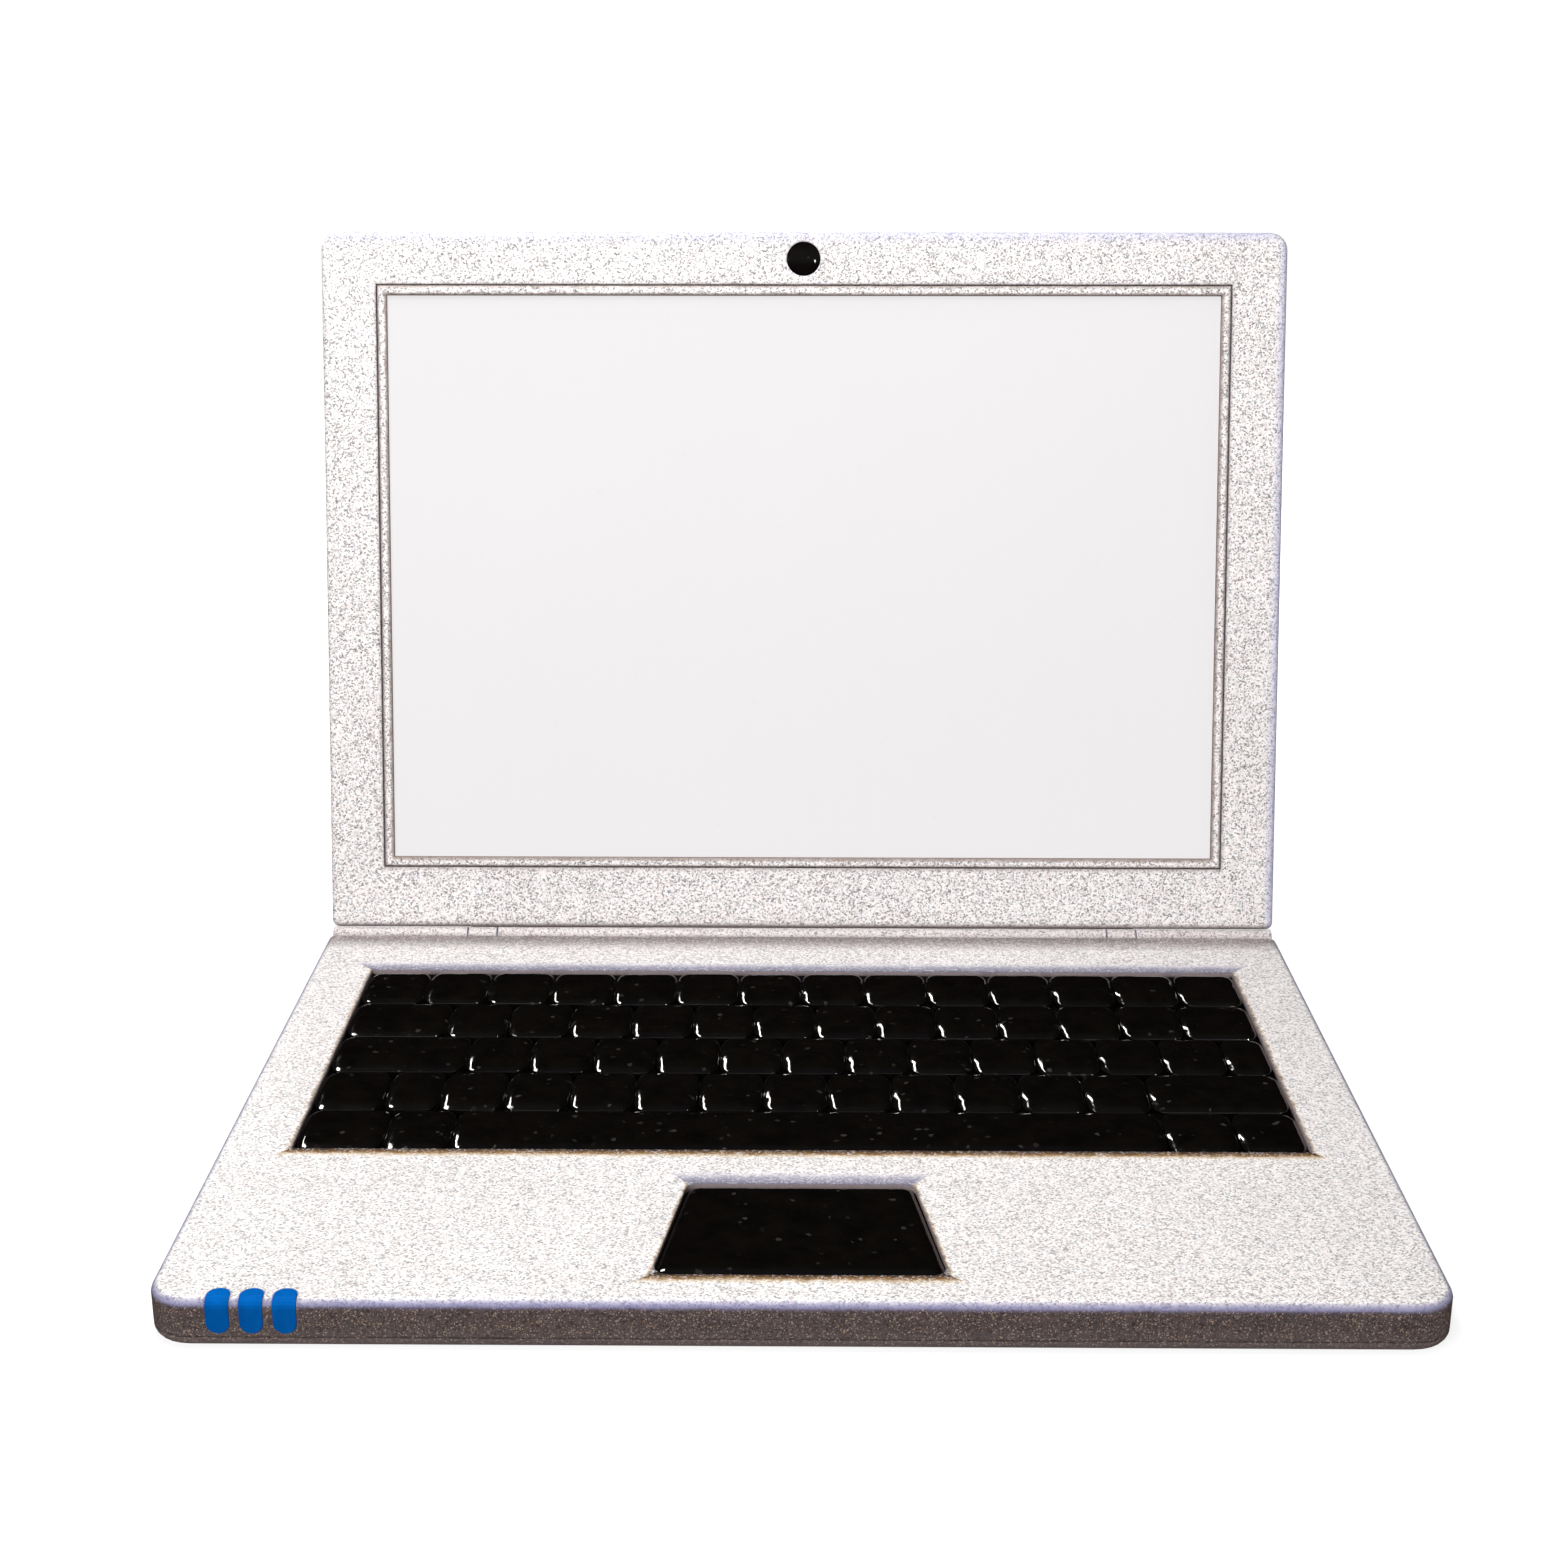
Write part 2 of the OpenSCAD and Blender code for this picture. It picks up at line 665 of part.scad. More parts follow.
board_t = 1.2;
board_z = plate_low_z - 2.3 - board_t;
board_x0 = fan_x + fan_half + 8;
board_x1 = side_x - 22;
board_y0 = keys_front_y + 4;
board_y1 = inner_rear_y - 14;
board_notch = [40, 46];
standoff_inset = 16;
cpu_t = 1.2;
cpu_w = 26;
cpu_at = [board_x0 + 42, board_y1 - 40];

module main_board() {
    standoff_h = plate_low_z - board_z - board_t;
    color(board_green) union() {
        difference() {
            block([board_x0, board_y0, board_z], [board_x1, board_y1, board_z + board_t]);
            block([board_x0 - 1, board_y0 - 1, board_z - 1],
                [board_x0 + board_notch.x, board_y0 + board_notch.y, board_z + 4]);
        }
        for (x = [board_x0 + board_notch.x + standoff_inset, board_x1 - standoff_inset],
                y = [board_y0 + standoff_inset, keys_rear_y - standoff_inset])
            translate([x, y, board_z + board_t - joined]) cylinder(r = 2.5, h = standoff_h + joined);
    }
}

module processor() {
    die = 12;
    color([0.25, 0.27, 0.3]) translate([cpu_at.x, cpu_at.y, board_z - cpu_t]) union() {
        block([-cpu_w / 2, -cpu_w / 2, 0.6], [cpu_w / 2, cpu_w / 2, cpu_t]);
        block([-die / 2, -die / 2, 0], [die / 2, die / 2, 0.7]);
    }
}

module memory_chips() {
    chip = [12, 10, 1];
    pitch = 16;
    color(dark_plastic) for (i = [0:3])
        translate([cpu_at.x + 38 + i * pitch, cpu_at.y, board_z - chip.z])
            block([0, 0, 0], chip);
}

module storage_drive() {
    card = [80, 22, 0.8];
    chip_t = 1.2;
    at = [board_x1 - card.x - 18, board_y0 + 20, board_z - card.z];
    color([0.08, 0.2, 0.3]) union() {
        block(at, at + card);
        for (i = [0:2])
            translate([at.x + 8 + i * 23, at.y + 4, at.z - chip_t]) cube([16, 14, chip_t + joined]);
    }
}

module wireless_card() {
    card = [30, 22, 0.8];
    at = [board_x1 - card.x - 12, board_y0 + 52, board_z - card.z];
    color([0.08, 0.2, 0.3]) union() {
        block(at, at + card);
        block([at.x + 8, at.y + 4, at.z - 1], [at.x + 24, at.y + 18, at.z + joined]);
    }
}

pipe_w = 8;
pipe_t = 1.2;
pipe_bend_r = pipe_w / 2 + 0.3;
pipe_z = board_z - cpu_t - pipe_t;
sink_y = rear_y - case_wall - 6.5;
fan_y = sink_y - 6 - fan_half;
fan_low_z = floor_z + seat;
fan_top_z = plate_low_z - seat;
PIPE_PATH = [[cpu_at.x + 8, cpu_at.y], [cpu_at.x - 8, cpu_at.y], [fan_x + fan_half + 10, fan_y + 4],
    [fan_x + fan_half + 10, sink_y - 5], [fan_x + fan_half + 3, sink_y], [fan_x - fan_half + 6, sink_y]];

module heat_pipe() {
    color(copper) translate([0, 0, pipe_z]) linear_extrude(pipe_t) union() {
        for (p = PIPE_PATH)
            translate(p) circle(r = pipe_bend_r);
        for (i = [0:len(PIPE_PATH) - 2]) {
            run = PIPE_PATH[i + 1] - PIPE_PATH[i];
            translate(PIPE_PATH[i]) rotate(atan2(run.y, run.x))
                translate([0, -pipe_w / 2]) square([norm(run), pipe_w]);
        }
    }
}

module heat_sink() {
    fin_n = 22;
    fin_pitch = 2.4;
    fin_t = 0.5;
    roof_t = 0.7;
    top_z = channel_z - deck_t - seat;
    low_z = pipe_z + pipe_t;
    x0 = fan_x - (fin_n - 1) * fin_pitch / 2;
    color(copper) union() {
        block([x0 - fin_t / 2, sink_y - 5, top_z - roof_t],
            [x0 + (fin_n - 1) * fin_pitch + fin_t / 2, sink_y + 5, top_z]);
        for (i = [0:fin_n - 1])
            block([x0 + i * fin_pitch - fin_t / 2, sink_y - 5, low_z],
                [x0 + i * fin_pitch + fin_t / 2, sink_y + 5, top_z - roof_t + joined]);
    }
}

fan_r = 23.5;
shaft_r = 1.2;
fan_plate_t = 0.7;

module fan_housing() {
    inlet_r = 15;
    color(dark_plastic) translate([fan_x, fan_y, 0]) union() {
        difference() {
            block([-fan_half, -fan_half, fan_low_z], [fan_half, fan_half, fan_top_z]);
            translate([0, 0, fan_low_z + fan_plate_t])
                cylinder(r = fan_r + 1.5, h = fan_top_z - fan_low_z - 2 * fan_plate_t);
            block([-fan_r, 0, fan_low_z + fan_plate_t], [fan_r + 1.5, fan_half + 1, fan_top_z - fan_plate_t]);
            translate([0, 0, fan_low_z - 1]) cylinder(r = inlet_r, h = fan_plate_t + 2);
        }
        translate([0, 0, fan_low_z + 2]) cylinder(r = shaft_r, h = fan_top_z - fan_low_z - 2 - joined);
    }
}

module fan_rotor() {
    blade_n = 23;
    hub_r = 9.5;
    blade_t = 0.8;
    blade_lean = 28;
    low_z = fan_low_z + fan_plate_t + seat;
    high_z = fan_top_z - fan_plate_t - seat;
    color([0.1, 0.1, 0.1]) translate([fan_x, fan_y, low_z]) difference() {
        union() {
            cylinder(r = hub_r, h = high_z - low_z);
            for (i = [0:blade_n - 1])
                rotate(360 / blade_n * i) translate([hub_r - 1, 0, 0]) rotate(blade_lean)
                    block([0, -blade_t / 2, 0], [fan_r - hub_r - 1, blade_t / 2, high_z - low_z]);
        }
        translate([0, 0, 0.7]) cylinder(r = shaft_r + pin_clear, h = high_z - low_z);
    }
}

// ---- Battery and speakers ----

speaker_w = 30;
speaker_d = 44;
speaker_mid_x = side_x - 11 - speaker_w / 2;
speaker_mid_y = inner_front_y + 8 + speaker_d / 2;
tray_w = 2 * (speaker_mid_x - speaker_w / 2 - 8);
tray_y0 = inner_front_y + 3.5;
tray_y1 = keys_front_y - 6;
tray_h = 6;
tray_wall = 1.2;
cell_n = 3;

cell_w = (tray_w - (cell_n + 1) * tray_wall) / cell_n;
tray_floor = 0.8;

// Left side of pocket number i of the tray
function pocket_x(i) = -tray_w / 2 + tray_wall + i * (cell_w + tray_wall);

module battery_tray() {
    color(dark_plastic) difference() {
        block([-tray_w / 2, tray_y0, floor_z], [tray_w / 2, tray_y1, floor_z + tray_h]);
        for (i = [0:cell_n - 1])
            block([pocket_x(i), tray_y0 + tray_wall, floor_z + tray_floor],
                [pocket_x(i) + cell_w, tray_y1 - tray_wall, floor_z + tray_h + 1]);
    }
}

module battery_cells() {
    color([0.55, 0.56, 0.58]) for (i = [0:cell_n - 1])
        block([pocket_x(i) + seat, tray_y0 + tray_wall + seat, floor_z + tray_floor],
            [pocket_x(i) + cell_w - seat, tray_y1 - tray_wall - seat, floor_z + tray_h - seat]);
}

// Speaker box with its cone facing down; side is -1 on the left and 1 on the right
module speaker(side) {
    cone_r = 9;
    translate([side * speaker_mid_x, speaker_mid_y, floor_z]) color(dark_plastic) difference() {
        block([-speaker_w / 2, -speaker_d / 2, 0], [speaker_w / 2, speaker_d / 2, 6]);
        translate([0, 0, -1]) cylinder(r1 = cone_r + 1, r2 = cone_r - 3, h = 3);
    }
}

// ---- Sockets ----

module power_jack() {
    depth = 11;
    color(dark_plastic) translate([-side_x, jack_y, jack_z]) difference() {
        union() {
            x_bar(-case_wall + 0.4, 1, jack_bore_r + port_sleeve - thread_gap);
            block([0, -4.2, -3.5], [depth, 4.2, 3.5]);
        }
        x_bar(-case_wall - 1, depth - 1.5, jack_bore_r);
    }
    color(steel) translate([-side_x, jack_y, jack_z]) x_bar(1, depth - 1.4, 0.8);
}

module usb_socket(side, y) {
    depth = 8;
    mirror([side < 0 ? 1 : 0, 0, 0]) translate([side_x, y, port_z]) union() {
        difference() {
            union() {
                usb_outline_x(-1, case_wall - 0.4, port_sleeve - thread_gap);
                block([-depth, -usb_w / 2 - 0.8, -usb_h / 2 - 0.8], [0, usb_w / 2 + 0.8, usb_h / 2 + 0.8]);
            }
            usb_outline_x(-depth + 1, case_wall + 1, 0);
        }
        block([-depth + 0.5, -3.3, -0.35], [case_wall - 1.4, 3.3, 0.35]);
    }
}

module usb_ports() {
    color(steel) {
        for (y = usb_left_y)
            usb_socket(-1, y);
        for (y = usb_right_y)
            usb_socket(1, y);
    }
}

module audio_jack() {
    depth = 14;
    color(dark_plastic) translate([side_x, audio_y, port_z]) difference() {
        union() {
            x_bar(-1, case_wall - 0.4, audio_bore_r + port_sleeve - thread_gap);
            block([-depth, -3.2, -2.6], [0, 3.2, 2.6]);
        }
        x_bar(-depth + 1, case_wall + 1, audio_bore_r);
    }
}

// ---- Hinges ----

// Barrel and leaf that are screwed under the deck, drawn on the right
module hinge_base(side) {
    mirror([side < 0 ? 1 : 0, 0, 0]) color(silver) difference() {
        union() {
            translate([0, axis_y, axis_z]) x_bar(base_barrel_x, barrel_end, hinge_r);
            block([leaf_x, inner_rear_y - leaf_l + 4, deck_low_z - leaf_t],
                [leaf_x + leaf_w, axis_y - 1, deck_low_z]);
        }
        translate([0, axis_y, axis_z]) x_bar(base_barrel_x - 1, base_barrel_x + pin_l + 2, pin_r + pin_clear);
        hinge_screw_places() translate([0, 0, deck_low_z - leaf_t - 1])
            cylinder(r = screw_r + thread_gap, h = leaf_t + 2);
    }
}

module hinge_screws() {
    color(steel) hinge_screw_places() translate([0, 0, deck_low_z - leaf_t - screw_head_t])
        screw(screw_head_t, leaf_t + 0.8);
}

// Neck from a lid-side barrel into the lid, in [height above the axis, depth behind it]
neck_w = lid_part_w + 1.4;
NECK = [[2, 1.9], [1.7, 3.6], [2, neck_w - 1.2], [6.8, neck_w - 1.2], [6.8, neck_w], [0.6, neck_w],
    [0.2, 3.4], [0.6, 2.4]];
BRACKET = [[4.8, neck_w - 1], [6.2, neck_w - 1], [6.2, lid_inner_w - leaf_t],
    [bracket_s, lid_inner_w - leaf_t], [bracket_s, lid_inner_w], [4.8, lid_inner_w]];

LID_SCREWS = [for (sx = [-1, 1], i = [0:2]) [sx * (lid_barrel_x + 6 + i * 13), 12 + (i % 2) * 5]];

// Barrel, pin and bracket that are screwed to the back of the lid, drawn on the right
module hinge_lid(side) {
    mirror([side < 0 ? 1 : 0, 0, 0]) color(silver) open_lid() union() {
        x_bar(lid_barrel_x, lid_barrel_x + lid_barrel_l, hinge_r);
        x_bar(lid_barrel_x + lid_barrel_l - 1, base_barrel_x + pin_l, pin_r);
        lid_profile(NECK, lid_barrel_x, lid_barrel_x + lid_barrel_l);
        difference() {
            lid_profile(BRACKET, lid_barrel_x, lid_barrel_x + bracket_x);
            for (p = LID_SCREWS)
                translate([abs(p.x), -p.y, lid_inner_w - leaf_t - 1])
                    cylinder(r = screw_r + thread_gap, h = leaf_t + 2);
        }
    }
}

// Ribbon of the display cable, from the bore of the hinge cover to the display
ribbon_half = 5;
chassis_low_s = screen_s - chassis_margin;
RIBBON = [[0.4, 0.5], [0.95, 3.5], [1.6, 5.45], [chassis_low_s, 5.45], [chassis_low_s, 5.75],
    [1.4, 5.75], [0.65, 3.6], [0.1, 0.6]];

module hinge_cover() {
    cable_bore_r = 2;
    color(silver) open_lid() difference() {
        union() {
            x_bar(-hinge_cover_x, hinge_cover_x, hinge_r);
            lid_profile(NECK, -hinge_cover_x, hinge_cover_x);
        }
        x_bar(-hinge_cover_x - 1, hinge_cover_x + 1, cable_bore_r);
        lid_profile(RIBBON, -ribbon_half - seat, ribbon_half + seat, 0.15);
    }
}

module display_cable() {
    bundle_r = 1.3;
    color(dark_plastic) open_lid() union() {
        x_bar(-60, ribbon_half, bundle_r);
        lid_profile(RIBBON, -ribbon_half, ribbon_half);
    }
}

module lid_screws() {
    color(steel) open_lid() for (p = LID_SCREWS)
        translate([p.x, -p.y, lid_inner_w - leaf_t - lid_screw_head_t]) screw(lid_screw_head_t, leaf_t + 0.8);
}

// ---- Lid ----

// Hollow of the lid between two depths behind its axis
module lid_hollow(w0, w1) {
    hollow(body_w / 2 - lid_wall, -lid_top_s + lid_wall, -lid_low_s - lid_wall, w0, w1, lid_corner_r,
        lid_low_corner_r, lid_wall);
}

module lid_cover() {
    slot_x = base_barrel_x + 1;
    color(silver) open_lid() difference() {
        soft_slab(body_w, -lid_top_s, -lid_low_s, lid_part_w, back_w, lid_corner_r, lid_low_corner_r,
            lid_edge_r, 0);
        difference() {
            lid_hollow(lid_part_w - 1, lid_inner_w);
            for (sx = [-1, 1], s = [screen_s + 10, screen_s + screen_h - 10])
                translate([sx * (screen_w / 2 - 20), -s, glass_w + glass_t + chassis_t])
                    cylinder(r = 6, h = lid_inner_w);
        }
        block([-slot_x, -lid_low_s - lid_wall - 1, lid_part_w - 1], [slot_x, 0, neck_w]);
        for (p = LID_SCREWS)
            translate([p.x, -p.y, lid_inner_w - 1]) cylinder(r = screw_r + thread_gap, h = 1.9);
    }
}

module screen_bezel() {
    open_w = screen_w + 2 * (trim_w + trim_gap);
    color(silver) open_lid() difference() {
        soft_slab(body_w, -lid_top_s, -lid_low_s, face_w, lid_part_w, lid_corner_r, lid_low_corner_r,
            0, bezel_edge_r);
        lid_hollow(face_w + bezel_t, lid_part_w + 1);
        block([-open_w / 2, -trim_top_s - trim_gap, 0],
            [open_w / 2, -screen_s + trim_w + trim_gap, lid_part_w]);
        translate([0, -camera_s, 0]) cylinder(r = camera_r + 0.1, h = lid_part_w);
    }
}

// One mitred side of the trim: crowned, l long on its inner edge
module trim_side(l) {
    half_l = l / 2 + joined;
    crown = [for (a = [0:30:180]) [trim_w / 2 - cos(a) * trim_w / 2, glass_w - face_w + trim_proud * sin(a)]];
    intersection() {
        translate([-l / 2 - trim_w, 0, 0]) rotate([90, 0, 90]) linear_extrude(l + 2 * trim_w)
            polygon(concat([[0, 0]], crown, [[trim_w, 0]]));
        linear_extrude(5)
            polygon([[-half_l, 0], [half_l, 0], [half_l + trim_w, trim_w], [-half_l - trim_w, trim_w]]);
    }
}

module screen_trim() {
    color(silver) open_lid() translate([0, -screen_mid_s, glass_w]) rotate([180, 0, 0]) union() {
        for (turn = [0, 180]) {
            rotate(turn) translate([0, screen_h / 2, 0]) trim_side(screen_w);
            rotate(turn + 90) translate([0, screen_w / 2, 0]) trim_side(screen_h);
        }
    }
}

module display_glass() {
    color([0.94, 0.94, 0.95]) open_lid()
        block([-screen_w / 2 - glass_margin, -screen_s - screen_h - glass_margin, glass_w],
            [screen_w / 2 + glass_margin, -screen_s + glass_margin, glass_w + glass_t]);
}

module display_chassis() {
    color(steel) open_lid()
        block([-screen_w / 2 - chassis_margin, -screen_s - screen_h - chassis_margin, glass_w + glass_t],
            [screen_w / 2 + chassis_margin, -chassis_low_s, glass_w + glass_t + chassis_t]);
}

camera_board_w = lid_part_w + 0.4;

module camera_lens() {
    proud = 0.9;
    dome_h = 1.3;
    ball_r = (camera_r * camera_r + dome_h * dome_h) / (2 * dome_h);
    color(key_black) open_lid() translate([0, -camera_s, 0]) intersection() {
        translate([0, 0, face_w - proud]) cylinder(r = camera_r, h = camera_board_w - face_w + proud);
        translate([0, 0, face_w - proud + ball_r]) sphere(r = ball_r);
    }
}

module camera_board() {
    board_l = 48;
    board_d = 9;
    color(board_green) open_lid()
        block([-board_l / 2, -camera_s - board_d / 2, camera_board_w],
            [board_l / 2, -camera_s + board_d / 2, lid_inner_w]);
}

module antennas() {
    antenna_l = 44;
    antenna_x = screen_w * 0.32;
    color(copper) open_lid() for (side = [-1, 1])
        block([side * antenna_x - antenna_l / 2, -camera_s - 4, lid_inner_w - 0.8],
            [side * antenna_x + antenna_l / 2, -camera_s + 4, lid_inner_w]);
}

// ---- The model ----

top_case();
bottom_cover();
cover_screws();
rubber_feet();
status_lights();
status_board();
keyboard_plate();
dome_sheet();
key_scissors();
keys(0, 0, 12);  // keys_number_row
keys(0, 13, 13);  // key_backspace
keys(1, 0, 0);  // key_tab
keys(1, 1, 12);  // keys_upper_row
keys(1, 13, 13);  // key_backslash
keys(2, 0, 0);  // key_caps_lock
keys(2, 1, 12);  // keys_home_row
keys(2, 13, 13);  // key_enter
keys(3, 0, 0);  // key_shift_left
keys(3, 1, 12);  // keys_lower_row
keys(3, 13, 13);  // key_shift_right
keys(4, 0, 0);  // key_control
keys(4, 1, 1);  // key_alt_left
keys(4, 2, 2);  // key_space
keys(4, 3, 3);  // key_alt_right
keys(4, 4, 4);  // key_menu
trackpad();
trackpad_frame();
trackpad_switch();
main_board();
processor();
memory_chips();
storage_drive();
wireless_card();
heat_pipe();
heat_sink();
fan_housing();
fan_rotor();
battery_tray();
battery_cells();
speaker(-1);  // speaker_left
speaker(1);  // speaker_right
power_jack();
usb_ports();
audio_jack();
hinge_base(-1);  // hinge_base_left
hinge_base(1);  // hinge_base_right
hinge_screws();
hinge_lid(-1);  // hinge_lid_left
hinge_lid(1);  // hinge_lid_right
hinge_cover();
display_cable();
lid_cover();
screen_bezel();
screen_trim();
display_glass();
display_chassis();
camera_lens();
camera_board();
antennas();
lid_screws();
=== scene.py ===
# Laptop computer: the looks. Metres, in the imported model's own frame.
import json
import math
import random

import bpy
from mathutils import Euler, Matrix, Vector

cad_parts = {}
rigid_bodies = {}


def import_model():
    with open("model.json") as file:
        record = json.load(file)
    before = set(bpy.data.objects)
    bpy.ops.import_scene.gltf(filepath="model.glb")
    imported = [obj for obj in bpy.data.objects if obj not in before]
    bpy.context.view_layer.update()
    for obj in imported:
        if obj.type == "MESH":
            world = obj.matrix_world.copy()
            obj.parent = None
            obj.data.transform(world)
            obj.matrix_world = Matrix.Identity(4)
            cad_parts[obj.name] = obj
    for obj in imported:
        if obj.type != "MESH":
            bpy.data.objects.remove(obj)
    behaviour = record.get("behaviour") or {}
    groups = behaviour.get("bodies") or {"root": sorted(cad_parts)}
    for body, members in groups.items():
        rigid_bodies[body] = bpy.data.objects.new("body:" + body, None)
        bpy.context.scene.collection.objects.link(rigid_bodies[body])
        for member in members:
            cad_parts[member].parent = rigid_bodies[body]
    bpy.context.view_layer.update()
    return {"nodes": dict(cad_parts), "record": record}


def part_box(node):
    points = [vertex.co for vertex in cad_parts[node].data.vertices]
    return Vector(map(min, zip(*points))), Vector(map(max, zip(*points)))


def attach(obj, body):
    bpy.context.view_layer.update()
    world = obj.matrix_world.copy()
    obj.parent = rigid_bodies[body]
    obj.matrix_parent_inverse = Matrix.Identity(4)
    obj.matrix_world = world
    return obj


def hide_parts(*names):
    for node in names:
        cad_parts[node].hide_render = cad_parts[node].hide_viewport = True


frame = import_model()
NODES = frame["nodes"]
MM = 0.001

# The keyboard's field, as in the part's source: 14 units wide, 5 rows deep
KEYS_W, KEYS_REAR, ROW_D, KEY_GAP = 283 * MM, 84.5 * MM, 25 * MM, 0.45 * MM
KEYS_FRONT = KEYS_REAR - 5 * ROW_D
UNIT = KEYS_W / 14
KEY_LOW, KEY_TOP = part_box("key_space")[0][2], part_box("key_space")[1][2]

# The trackpad, wider at its front than at its rear
PAD_LOW, PAD_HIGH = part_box("trackpad")
PAD_FRONT_W, PAD_REAR_W = 74 * MM, 60 * MM

# The base: the painted shade around the keys lies above DECK_Z only, and its sides are all painted
# shade under DARK_BELOW
DECK_Z, DECK_REAR, DARK_BELOW = 13.8 * MM, 120.5 * MM, 9.8 * MM

# The lid at rest: the screen trim's outline, and where the painted shade on the right and top edges
# begins
TRIM_HALF_W, TRIM_HALF_H, TRIM_MID_Z = 143.2 * MM, 95.81 * MM, 131.22 * MM
LID_SHADE_FROM_X, LID_SHADE_FROM_Z, LID_SHADE_REACH = 158.2 * MM, 240.2 * MM, 4 * MM

# Paints: colours at places from 0 to 1 along a ramp, and plain colours; many stand for painted
# shade or sheen
BROWN_SHADE_TONES = ((0.0, (0.016, 0.008, 0.003)), (0.25, (0.075, 0.034, 0.008)),
               (0.55, (0.26, 0.135, 0.030)), (0.85, (0.62, 0.46, 0.20)), (1.0, (0.84, 0.74, 0.58)))
COOL_SHADE_TONES = ((0.0, (0.065, 0.064, 0.110)), (0.35, (0.19, 0.185, 0.28)),
              (0.7, (0.42, 0.405, 0.49)), (1.0, (0.72, 0.69, 0.74)))
FLAKE_TONES = ((0.0, (0.92, 0.815, 0.775)), (0.35, (0.97, 0.925, 0.905)),
               (0.7, (0.93, 0.91, 0.93)), (1.0, (1.0, 0.97, 0.92)))
RUBBED_TONE = (0.45, 0.39, 0.375)
GROOVE_SHADE_TONE, BROAD_SHADE_TONE = (0.17, 0.12, 0.105), (0.42, 0.36, 0.36)
ALL_OVER_BROWN_TONE, HINGE_SHADE_TONE = (0.30, 0.24, 0.24), (0.18, 0.14, 0.14)
TRIM_GROOVE_SHADE_TONE, BEZEL_GROOVE_SHADE_TONE = (0.20, 0.145, 0.115), (0.22, 0.165, 0.135)
EDGE_SHEEN_TONE, LID_EDGE_SHADE_TONE = (0.66, 0.69, 0.90), (0.34, 0.36, 0.58)
RIM_SHADE_TONE, COVER_SHADE_DIM = (0.145, 0.145, 0.29), (0.84, 0.84, 0.85)
SIDE_SHADE_DARK, SIDE_SHADE_LIGHT = (0.012, 0.005, 0.004), (0.038, 0.019, 0.017)
FLECK_GLINT_TONE = (0.32, 0.23, 0.165)


# ---- Shader helpers ----

